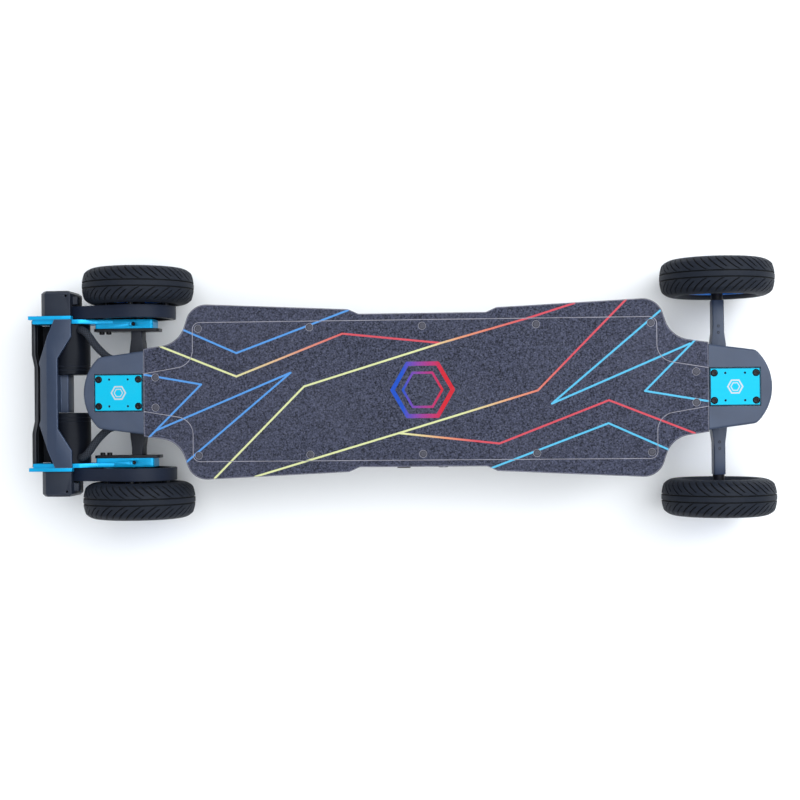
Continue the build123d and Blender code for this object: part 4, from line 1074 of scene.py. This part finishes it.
# a rib is (distance from the axle, half its width) at its root and its tip
rib_root, rib_tip = (0.0215, 0.0024), (0.0445, 0.0034)
rib_sunk, rib_rise, rib_draft = 0.0004, 0.0016, 0.0006
bearing_in, bearing_out = 0.009, 0.017
bearing_steps = [
    (0.00605, 0.0), (0.0082, 0.0), (0.0086, 0.0005), (0.0119, 0.0005), (0.0122, 0.0), (0.0137, 0.0),
    (0.0140, 0.0004), (0.0140, 0.0076), (0.0137, 0.008), (0.0122, 0.008),
    (0.0119, 0.0075), (0.0086, 0.0075),
    (0.0082, 0.008), (0.00605, 0.008),
]
for wheel, (centre, side) in wheels.items():
    body = f"{wheel}_wheel"
    fit(eased(f"{wheel}_split_rim", f"{wheel}_rim", 0.0007, rim_blue), body, "rim_blue", f"{wheel}_rim")
    across = Vector((0, side, 0))
    seats = [(centre + across * bearing_in, across), (centre - across * bearing_out, across)]
    bearings = set_parts(f"{wheel}_shielded_bearings", bearing_steps, seats, bearing_steel, 40, True)
    fit(bearings, body, "bearing_steel", f"{wheel}_bearings")
    bolt_spots = []
    for k in range(spoke_count):
        a = radians(90 + 360 / spoke_count * k)
        round_hub = Vector((hub_bolt_circle * cos(a), 0, hub_bolt_circle * sin(a)))
        bolt_spots += [(centre + round_hub + across * rim_web_half, across)]
        bolt_spots += [(centre + round_hub - across * rim_web_half, -across)]
    hub_bolts = set_parts(f"{wheel}_hub_bolts", hub_bolt_steps, bolt_spots, black_oxide)
    fit(hub_bolts, body, "fastener")
    # spoke ribs stand proud of the web on both faces
    rib_points, rib_faces = [], []
    for s in (1, -1):
        for depth, spare in ((rim_web_half - rib_sunk, rib_draft), (rim_web_half + rib_rise, 0.0)):
            for (r, half), sign in ((rib_root, -1), (rib_root, 1), (rib_tip, 1), (rib_tip, -1)):
                rib_points.append((sign * (half + spare), s * depth, r))
    for first in (0, 8):
        sunk_end, proud_end = [first + k for k in range(4)], [first + 4 + k for k in range(4)]
        rib_faces += [tuple(proud_end), tuple(sunk_end[:1] + sunk_end[:0:-1])]
        for k in range(4):
            after = (k + 1) % 4
            rib_faces.append((sunk_end[k], sunk_end[after], proud_end[after], proud_end[k]))
    ribs = all_round(f"{wheel}_spoke_ribs", rib_points, rib_faces, spoke_count, centre, rim_blue)
    fit(ribs, body, "rim_blue")
nut_out = 0.0171
axle_nut_steps = [
    (0.0061, 0.0), (0.0088, 0.0), (0.009, 0.0002), (0.009, 0.0009), (0.0088, 0.0011), (0.0078, 0.0011),
    (0.0080, 0.0015, 6), (0.0080, 0.0048, 6), (0.0075, 0.0054),
    (0.0071, 0.0075), (0.0063, 0.0075), (0.0061, 0.0072),
]
for end in ("front", "rear"):
    spots = [
        (centre + Vector((0, side * nut_out, 0)), (0, side, 0))
        for wheel, (centre, side) in wheels.items() if wheel.startswith(end)
    ]
    nuts = set_parts(f"{end}_axle_lock_nuts", axle_nut_steps, spots, bright_steel, 36, True, 25)
    fit(nuts, f"{end}_truck", "steel", f"{end}_axle_nuts")

# ------------------------------------------------------------------ belt drive
# Each rear wheel carries a toothed drum, driven from the motor's small pulley by a
# round-toothed rubber belt with a smooth woven back. All teeth are five millimetres apart.
tooth_pitch, wheel_teeth, motor_teeth, belt_teeth = 0.005, 72, 18, 92
belt_middle, belt_half_width = 0.12725, 0.010
pitch_line_offset = 0.00057
drum_tip = wheel_teeth * tooth_pitch / (2 * pi) - pitch_line_offset
pinion_tip = motor_teeth * tooth_pitch / (2 * pi) - pitch_line_offset
belt_clearance, belt_back, belt_ease = 0.0003, 0.002, 0.0005
# the drum is turned down by core_cut, and its teeth start a little inside that
core_cut, tooth_root, rim_band = 0.0021, 0.0023, 0.0009
axle_place = {side: wheels[f"rear_{name}"][0] for name, side in both_sides}
pulley_alloy = finish(
    "pulley_alloy", paint(50, 52, 58), 0.34, 0.8, grain=2400, depth=0.00003,
    worn=paint(150, 154, 162), radius=0.0004
)
belt_rubber, tree, shader = blank_material("belt_rubber", 0.55, Specular_IOR_Level=0.15)
belt_threads = add_node(
    tree, "ShaderNodeTexWave", {"Vector": object_place(tree), "Scale": 420.0, "Distortion": 0.6},
    bands_direction="Y",
).outputs["Fac"]
belt_colour = mix_colour(tree, belt_threads, paint(24, 32, 49), paint(36, 47, 70))
finish_tree(
    tree, shader, belt_colour, 0.5, grain=1600, depth=0.00006, cloud=20, spread=0.1,
    worn=paint(60, 66, 78), radius=0.0005, dust=0.02,
)


def tooth(width_at_root, width_at_tip, root, tip, half_length):
    """A round-topped tooth standing along Z from root to tip, long across the belt."""
    shoulder = root + (tip - root) * 0.7
    half = [(width_at_tip / 4, tip), (width_at_tip / 2, shoulder), (width_at_root / 2, root)]
    shape = [(-x, z) for x, z in reversed(half)] + half
    points = [(x, y, z) for y in (-half_length, half_length) for x, z in shape]
    n = len(shape)
    faces = [tuple(range(n)), tuple(reversed(range(n, 2 * n)))]
    faces += [(k, k + n, (k + 1) % n + n, (k + 1) % n) for k in range(n)]
    return points, faces


along_path, given = new_geometry_tree("along the belt", [("Count", "Int"), ("Part", "Object")])
belt_curve = add_node(along_path, "GeometryNodeMeshToCurve", {"Mesh": given["Geometry"]}).outputs[0]
tooth_spots = add_node(
    along_path, "GeometryNodeResampleCurve", {"Curve": belt_curve, "Count": given["Count"]}
).outputs[0]
path_tangent = add_node(along_path, "GeometryNodeInputTangent").outputs[0]
tooth_turn = add_node(
    along_path, "FunctionNodeAlignRotationToVector", {"Vector": path_tangent}, axis="X", pivot_axis="Y"
).outputs[0]
path_part = add_node(along_path, "GeometryNodeObjectInfo", {"Object": given["Part"]}).outputs["Geometry"]
tooth_copies = add_node(
    along_path,
    "GeometryNodeInstanceOnPoints",
    {"Points": tooth_spots, "Instance": path_part, "Rotation": tooth_turn},
).outputs[0]
end_tree(along_path, given, tooth_copies)


def belt_run(big, small, big_at, small_at, steps):
    """Loop round two pulleys in X and Z: points with their outward normals, tailwards along the top."""
    span = hypot(big_at[0] - small_at[0], big_at[1] - small_at[1])
    lean = atan2(small_at[1] - big_at[1], small_at[0] - big_at[0])
    wrap = acos((big - small) / span)
    loop = []
    for radius, at, start, end in ((big, big_at, wrap, 2 * pi - wrap), (small, small_at, -wrap, wrap)):
        for k in range(steps + 1):
            a = lean + start + (end - start) * k / steps
            loop.append((at[0] + radius * cos(a), at[1] + radius * sin(a), cos(a), sin(a)))
    return loop


def core_of(name, node, centre, was, now, material, width):
    """An eased copy of a pulley whose plain rim is turned down, ready for its teeth."""
    made = eased(name, node, width, material, 1)
    for vertex in made.data.vertices:
        reach = hypot(vertex.co.x - centre.x, vertex.co.z - centre.z)
        if reach > now and abs(reach - was) < rim_band:
            share = now / reach
            vertex.co.x = centre.x + (vertex.co.x - centre.x) * share
            vertex.co.z = centre.z + (vertex.co.z - centre.z) * share
    return made


for side_name, side in both_sides:
    axle_at = axle_place[side]
    motor_at = middle_of(f"{side_name}_motor_rotor")
    drum_centre = Vector((axle_at.x, side * belt_middle, axle_at.z))
    pinion_centre = Vector((motor_at.x, side * belt_middle, motor_at.z))
    drum = core_of(
        f"{side_name}_belt_drum", f"{side_name}_wheel_pulley", drum_centre, drum_tip, drum_tip - core_cut,
        pulley_alloy, 0.0004,
    )
    fit(drum, f"rear_{side_name}_wheel", "pulley_metal", f"{side_name}_wheel_pulley")
    drum_teeth = all_round(
        f"{side_name}_drum_teeth", *tooth(0.0030, 0.0024, drum_tip - tooth_root, drum_tip, belt_half_width),
        wheel_teeth, drum_centre, pulley_alloy,
    )
    fit(drum_teeth, f"rear_{side_name}_wheel", "pulley_metal")
    pinion = core_of(
        f"{side_name}_pinion", f"{side_name}_motor_pulley",
        pinion_centre, pinion_tip, pinion_tip - core_cut,
        pulley_alloy, 0.0002,
    )
    fit(pinion, f"{side_name}_rotor", "pulley_metal", f"{side_name}_motor_pulley")
    pinion_teeth = all_round(
        f"{side_name}_pinion_teeth",
        *tooth(0.0026, 0.0020, pinion_tip - tooth_root, pinion_tip, belt_half_width),
        motor_teeth, pinion_centre, pulley_alloy,
    )
    fit(pinion_teeth, f"{side_name}_rotor", "pulley_metal")

    big_at, small_at = (axle_at.x, axle_at.z), (motor_at.x, motor_at.z)
    inner = belt_run(drum_tip + belt_clearance, pinion_tip + belt_clearance, big_at, small_at, 48)
    band_steps = [
        (0, -1), (belt_back - belt_ease, -1), (belt_back, -0.95), (belt_back, 0.95),
        (belt_back - belt_ease, 1), (0, 1),
    ]
    band_points, band_faces = [], []
    for x, z, nx, nz in inner:
        for thick, share in band_steps:
            band_points.append(
                (x + nx * thick, side * belt_middle + belt_half_width * share, z + nz * thick)
            )
    wide, long = len(band_steps), len(inner)
    for i in range(long):
        for k in range(wide):
            a, b = i * wide, ((i + 1) % long) * wide
            band_faces.append((a + k, b + k, b + (k + 1) % wide, a + (k + 1) % wide))
    band = settle(
        f"{side_name}_belt_band", keep("band", mesh_of("band", band_points, band_faces, belt_rubber))
    )
    fit(band, "rear_truck", "belt_rubber", f"{side_name}_belt")
    tooth_shape = tooth(0.0030, 0.0019, 0.0001, -0.0015, belt_half_width * 0.98)
    belt_tooth = keep("belt_tooth", mesh_of("belt_tooth", *tooth_shape))
    loop_mesh = bpy.data.meshes.new("belt_path")
    loop_mesh.from_pydata(
        [(x, side * belt_middle, z) for x, z, _, _ in inner], [(i, (i + 1) % long) for i in range(long)], []
    )
    belt_teeth_piece = grow(
        f"{side_name}_belt_teeth", loop_mesh, along_path,
        {"Count": belt_teeth, "Part": belt_tooth, "Finish": belt_rubber},
    )
    bpy.data.objects.remove(belt_tooth)
    fit(belt_teeth_piece, "rear_truck", "belt_rubber")

# ------------------------------------------------------------------ motors
# Brushless motors in black anodised cans lie across the board behind the axle. The can
# is turned, with two fine grooves near its inboard end, and the bell spins inside it.
can_black, tree, shader = blank_material("can_anodising", 0.4, 0.1, Specular_IOR_Level=0.1)
turning = noise(tree, stretched_place(tree, (20.0, 3000.0, 20.0)), 1.0, 2.0)
can_colour = mix_colour(tree, turning, paint(14, 17, 24), paint(28, 33, 45))
finish_tree(
    tree, shader, can_colour, 0.34, grain=2200, depth=0.00002, cloud=20, spread=0.1,
    worn=paint(70, 76, 90), radius=0.0006, dust=0.0,
)
rotor_steel = finish("rotor_steel", paint(120, 122, 128), 0.32, 1.0, grain=2600, depth=0.00003)
shaft_hole, can_radius, can_wall, stator = 0.00405, 0.0315, 0.003, 0.0225
bore, groove_floor = can_radius - can_wall, can_radius - 0.0006
for side_name, side in both_sides:
    coat_node(f"{side_name}_motor_rotor", rotor_steel)
    can_low, can_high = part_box(f"{side_name}_motor_housing")
    can_centre = (can_low + can_high) / 2
    length = can_high.y - can_low.y
    can_steps = [
        (shaft_hole, 0.0), (0.0075, 0.0), (0.0080, 0.0006), (0.0185, 0.0006), (0.0190, 0.0), (0.0300, 0.0),
        (can_radius, 0.0014), (can_radius, 0.0068), (groove_floor, 0.0071), (groove_floor, 0.0079),
        (can_radius, 0.0082), (can_radius, 0.0128), (groove_floor, 0.0131), (groove_floor, 0.0139),
        (can_radius, 0.0142), (can_radius, length - 0.0006), (groove_floor, length), (shaft_hole, length),
        (shaft_hole, length - 0.006), (0.0065, length - 0.006), (0.0065, 0.032), (stator, 0.032),
        (stator, length - 0.012), (0.009, length - 0.012), (0.009, length - 0.006), (bore, length - 0.006),
        (bore, 0.004), (shaft_hole, 0.004),
    ]
    inboard = (can_centre.x, side * min(abs(can_low.y), abs(can_high.y)), can_centre.z)
    can = set_parts(f"{side_name}_motor_can", can_steps, [(inboard, (0, side, 0))], can_black, 96, True, 30)
    fit(can, "rear_truck", "motor_can", f"{side_name}_motor_housing")

# ------------------------------------------------------------------ motor plates and clamps
# Machined alloy, anodised bright blue: the motor plate is half-lapped onto a clamp block
# that grips the hanger, with a black jaw inside and black socket screws through both.
drive_blue = finish(
    "drive_anodising", paint(4, 206, 275), 0.34, 0.4, grain=2600, depth=0.00002, cloud=30, spread=0.14,
    worn=paint(96, 210, 255), radius=0.0009, dust=0.0, Specular_IOR_Level=0.3,
)
jaw_black = finish(
    "jaw_anodising", paint(34, 35, 42), 0.38, 0.6, grain=2000, depth=0.00003,
    worn=paint(96, 100, 112), radius=0.0007,
)
for side_name in ("left", "right"):
    for part in ("motor_plate", "axle_clamp"):
        node = f"{side_name}_{part}"
        fit(
            eased(f"{side_name}_machined_{part}", node, 0.0005, drive_blue),
            "rear_truck",
            "blue_anodised",
            node,
        )
fit(
    eased("machined_clamp_jaws", "clamp_jaws", 0.0008, jaw_black), "rear_truck", "truck_black", "clamp_jaws"
)
rear_axle_at = middle_of("rear_axle")
# places behind and above the axle, out from the middle of the board, and round the motor
lap_screws_back, lap_screws_out, lap_screws_up = (0.056, 0.045), 0.0975, 0.010
face_screw_circle, face_screws_out = 0.022, 0.1140
pinch_back, pinch_out, pinch_up = 0.0035, 0.109, 0.0185
lap_screw_spots, face_screw_spots, pinch_spots = [], [], []
for side_name, side in both_sides:
    for back in lap_screws_back:
        at = (rear_axle_at.x - back, side * lap_screws_out, rear_axle_at.z + lap_screws_up)
        lap_screw_spots.append((at, (0, -side, 0)))
    motor_at = middle_of(f"{side_name}_motor_rotor")
    for k in range(4):
        a = radians(45 + 90 * k)
        up = motor_at.z + face_screw_circle * sin(a)
        at = (motor_at.x + face_screw_circle * cos(a), side * face_screws_out, up)
        face_screw_spots.append((at, (0, side, 0)))
    pinch_at = (rear_axle_at.x - pinch_back, side * pinch_out, rear_axle_at.z + pinch_up)
    pinch_spots.append((pinch_at, (0, 0, 1)))
for name, screw_steps, spots, stood_for in (
    ("lap_screws", socket_screw(0.0042, 0.0045, 0.0020, 0.0025, 0.018), lap_screw_spots, ["mount_screws"]),
    ("motor_face_screws", socket_screw(0.0032, 0.0018, 0.0014, 0.0016, 0.0095), face_screw_spots, []),
    ("clamp_pinch_screws", socket_screw(0.0029, 0.0024, 0.0014, 0.0016, 0.004), pinch_spots, []),
):
    fit(set_parts(name, screw_steps, spots, black_oxide), "rear_truck", "fastener", *stood_for)

# ------------------------------------------------------------------ guard, bumper and covers
# A folded blue-grey guard arches over the motors between the two plates, with a slim black
# bar behind it, and a faceted black nylon cover boxes in each motor pulley.
guard_paint = finish(
    "guard_paint", paint(56, 71, 98), 0.4, 0.1, grain=1500, depth=0.00006, cloud=12, spread=0.14,
    worn=paint(150, 168, 208), radius=0.0018, dust=0.02, Specular_IOR_Level=0.35,
)
bar_black = finish("bumper_coating", paint(34, 37, 45), 0.4, 0.2, worn=paint(96, 104, 122), radius=0.001)
cover_nylon = finish(
    "cover_nylon", paint(38, 46, 62), 0.46, grain=1100, depth=0.00009, worn=paint(92, 100, 120),
    radius=0.0012, dust=0.02, Specular_IOR_Level=0.25,
)
guard = eased("folded_motor_guard", "motor_guard", 0.0014, guard_paint)
fit(guard, "rear_truck", "guard_grey", "motor_guard")
fit(eased("bumper_bar", "rear_bumper", 0.0012, bar_black), "rear_truck", "bumper_black", "rear_bumper")
# a thin dark folded sheet behind the motors closes the gap down to the bar: it stands in for the shade in
# that gap, as painted shade
bar_low, bar_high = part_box("rear_bumper")
sheet, sheet_rise, sheet_reach, sheet_gap, fold_ease = 0.0015, 0.028, 0.018, 0.0001, 0.0006
sheet_under = bar_low.z + 0.0005
shade_sheet_points, shade_sheet_faces = [], []
# across the board: how far out, and how far the sheet steps back there
shade_sheet_line = [
    (0.109, -0.004), (0.062, -0.004), (0.043, 0), (-0.043, 0), (-0.062, -0.004), (-0.109, -0.004)
]
for y, set_back in shade_sheet_line:
    back, front = bar_high.x + set_back + sheet_gap, bar_high.x + sheet_reach
    fold = [
        (back, sheet_rise), (back, fold_ease), (back + fold_ease, 0), (front, 0), (front, sheet),
        (back + sheet, sheet), (back + sheet, sheet_rise),
    ]
    shade_sheet_points += [(x, y, sheet_under + z) for x, z in fold]
wide, last = len(fold), len(shade_sheet_points) - len(fold)
for a in range(0, last, wide):
    for k in range(wide):
        shade_sheet_faces.append((a + k, a + (k + 1) % wide, a + wide + (k + 1) % wide, a + wide + k))
shade_sheet_faces += [tuple(range(wide)), tuple(reversed(range(last, last + wide)))]
# the sheet's near-black coating is painted shade
shade_sheet_black = finish("shade_sheet_coating", paint(24, 27, 36), 0.6, grain=1500, dust=0, Specular_IOR_Level=0.2)
shield = settle(
    "motor_shield", keep("shield", mesh_of("shield", shade_sheet_points, shade_sheet_faces, shade_sheet_black))
)
fit(shield, "rear_truck", "bumper_black")
for side_name in ("left", "right"):
    node = f"{side_name}_pulley_cover"
    fit(eased(f"{side_name}_faceted_cover", node, 0.0008, cover_nylon), "rear_truck", "cover_plastic", node)

# ------------------------------------------------------------------ motor leads
# The leads of each motor run together in a stiff braided sleeve, from the can up over its
# plate and in through the tail wall of the belly.
sleeve_radius = 0.006
motor_low, motor_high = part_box("left_motor_rotor")
lead_motor_x, lead_motor_z = (motor_low.x + motor_high.x) / 2, (motor_low.z + motor_high.z) / 2
cable_height, cable_side = 0.1245, 0.045
gland = (can_radius + 0.0009) / sqrt(2)
lead_route = [
    (lead_motor_x + gland, 0.100, lead_motor_z + gland),
    (lead_motor_x + 0.033, 0.100, lead_motor_z + 0.033),
    (lead_motor_x + 0.054, 0.068, cable_height),
    (lead_motor_x + 0.084, cable_side, cable_height),
    (deck_middle_x - 0.326, cable_side, cable_height),
]
strands_round, strand_pitch = 8.0, 0.0036
sleeve_black, tree, shader = blank_material("braided_sleeve", 0.6, Specular_IOR_Level=0.15)
sleeve_map = add_node(tree, "ShaderNodeUVMap", uv_map="sleeve").outputs[0]
sleeve_around = add_node(tree, "ShaderNodeSeparateXYZ", {0: sleeve_map})


def braid_strand(tree, sign):
    """Height of the strands that wind one way round the sleeve."""
    turned = math_node(tree, "MULTIPLY", sleeve_around.outputs["X"], strands_round * sign)
    wound = math_node(tree, "ADD", turned, sleeve_around.outputs["Y"])
    return math_node(tree, "ABSOLUTE", math_node(tree, "SINE", math_node(tree, "MULTIPLY", wound, pi)))


strand_crest = math_node(tree, "MAXIMUM", braid_strand(tree, 1), braid_strand(tree, -1))
strands = math_node(tree, "POWER", strand_crest, 3.0)
fibres = noise(tree, sleeve_map, 60.0, 2.0)
strand_tone = math_node(tree, "MULTIPLY", strands, ramp_between(tree, fibres, 0.3, 0.7, 0.6, 1.0))
tree.links.new(
    mix_colour(tree, strand_tone, paint(2, 2, 3), paint(78, 84, 96)), shader.inputs["Base Color"]
)
strand_bump = add_node(tree, "ShaderNodeBump", {"Height": strands, "Distance": 0.0007, "Strength": 0.9})
tree.links.new(strand_bump.outputs[0], shader.inputs["Normal"])


def smooth_route(name, route):
    """Points along the smooth line that a lead takes through its route."""
    line = bpy.data.curves.new(name, "CURVE")
    line.dimensions = "3D"
    spline = line.splines.new("NURBS")
    spline.points.add(len(route) - 1)
    for point, place in zip(spline.points, route):
        point.co = (*place, 1.0)
    spline.order_u = 3
    spline.use_endpoint_u = True
    spline.resolution_u = 12
    carrier = keep(name, line)
    drawn = bpy.data.meshes.new_from_object(carrier.evaluated_get(bpy.context.evaluated_depsgraph_get()))
    found = [v.co.copy() for v in drawn.vertices]
    bpy.data.objects.remove(carrier)
    bpy.data.meshes.remove(drawn)
    return found


def sleeve_mesh(name, line, radius, sides=28):
    """A tube along a line with its ends closed, mapped with its turns across and its strands along."""
    points, faces, around, runs, run = [], [], [], [], 0.0
    side_way = (line[1] - line[0]).orthogonal().normalized()
    for i, place in enumerate(line):
        ahead = (line[min(i + 1, len(line) - 1)] - line[max(i - 1, 0)]).normalized()
        side_way = (side_way - ahead * side_way.dot(ahead)).normalized()
        up_way = ahead.cross(side_way)
        run += (place - line[i - 1]).length if i else 0.0
        runs.append(run)
        for k in range(sides):
            a = 2 * pi * k / sides
            points.append(place + (side_way * cos(a) + up_way * sin(a)) * radius)
    for i in range(len(line) - 1):
        for k in range(sides):
            n = (k + 1) % sides
            faces.append((i * sides + k, i * sides + n, (i + 1) * sides + n, (i + 1) * sides + k))
            here, there = k / sides, (k + 1) / sides
            around.append([(here, i), (there, i), (there, i + 1), (here, i + 1)])
    last = (len(line) - 1) * sides
    faces += [tuple(reversed(range(sides))), tuple(range(last, last + sides))]
    mesh = mesh_of(name, points, faces, sleeve_black)
    braid_map = mesh.uv_layers.new(name="sleeve")
    for polygon, corners in zip(mesh.polygons, around):
        for loop, (u, i) in zip(polygon.loop_indices, corners):
            braid_map.data[loop].uv = (u, runs[i] / strand_pitch)
    for polygon in mesh.polygons:
        polygon.use_smooth = True
    mesh.set_sharp_from_angle(angle=radians(50))
    return mesh


for side_name, side in both_sides:
    line = smooth_route(f"{side_name}_lead_route", [(x, side * y, z) for x, y, z in lead_route])
    length = sum((b - a).length for a, b in zip(line, line[1:]))
    sleeve = keep(f"{side_name}_motor_lead", sleeve_mesh(f"{side_name}_motor_lead", line, sleeve_radius))
    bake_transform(sleeve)
    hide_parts("motor_cables")
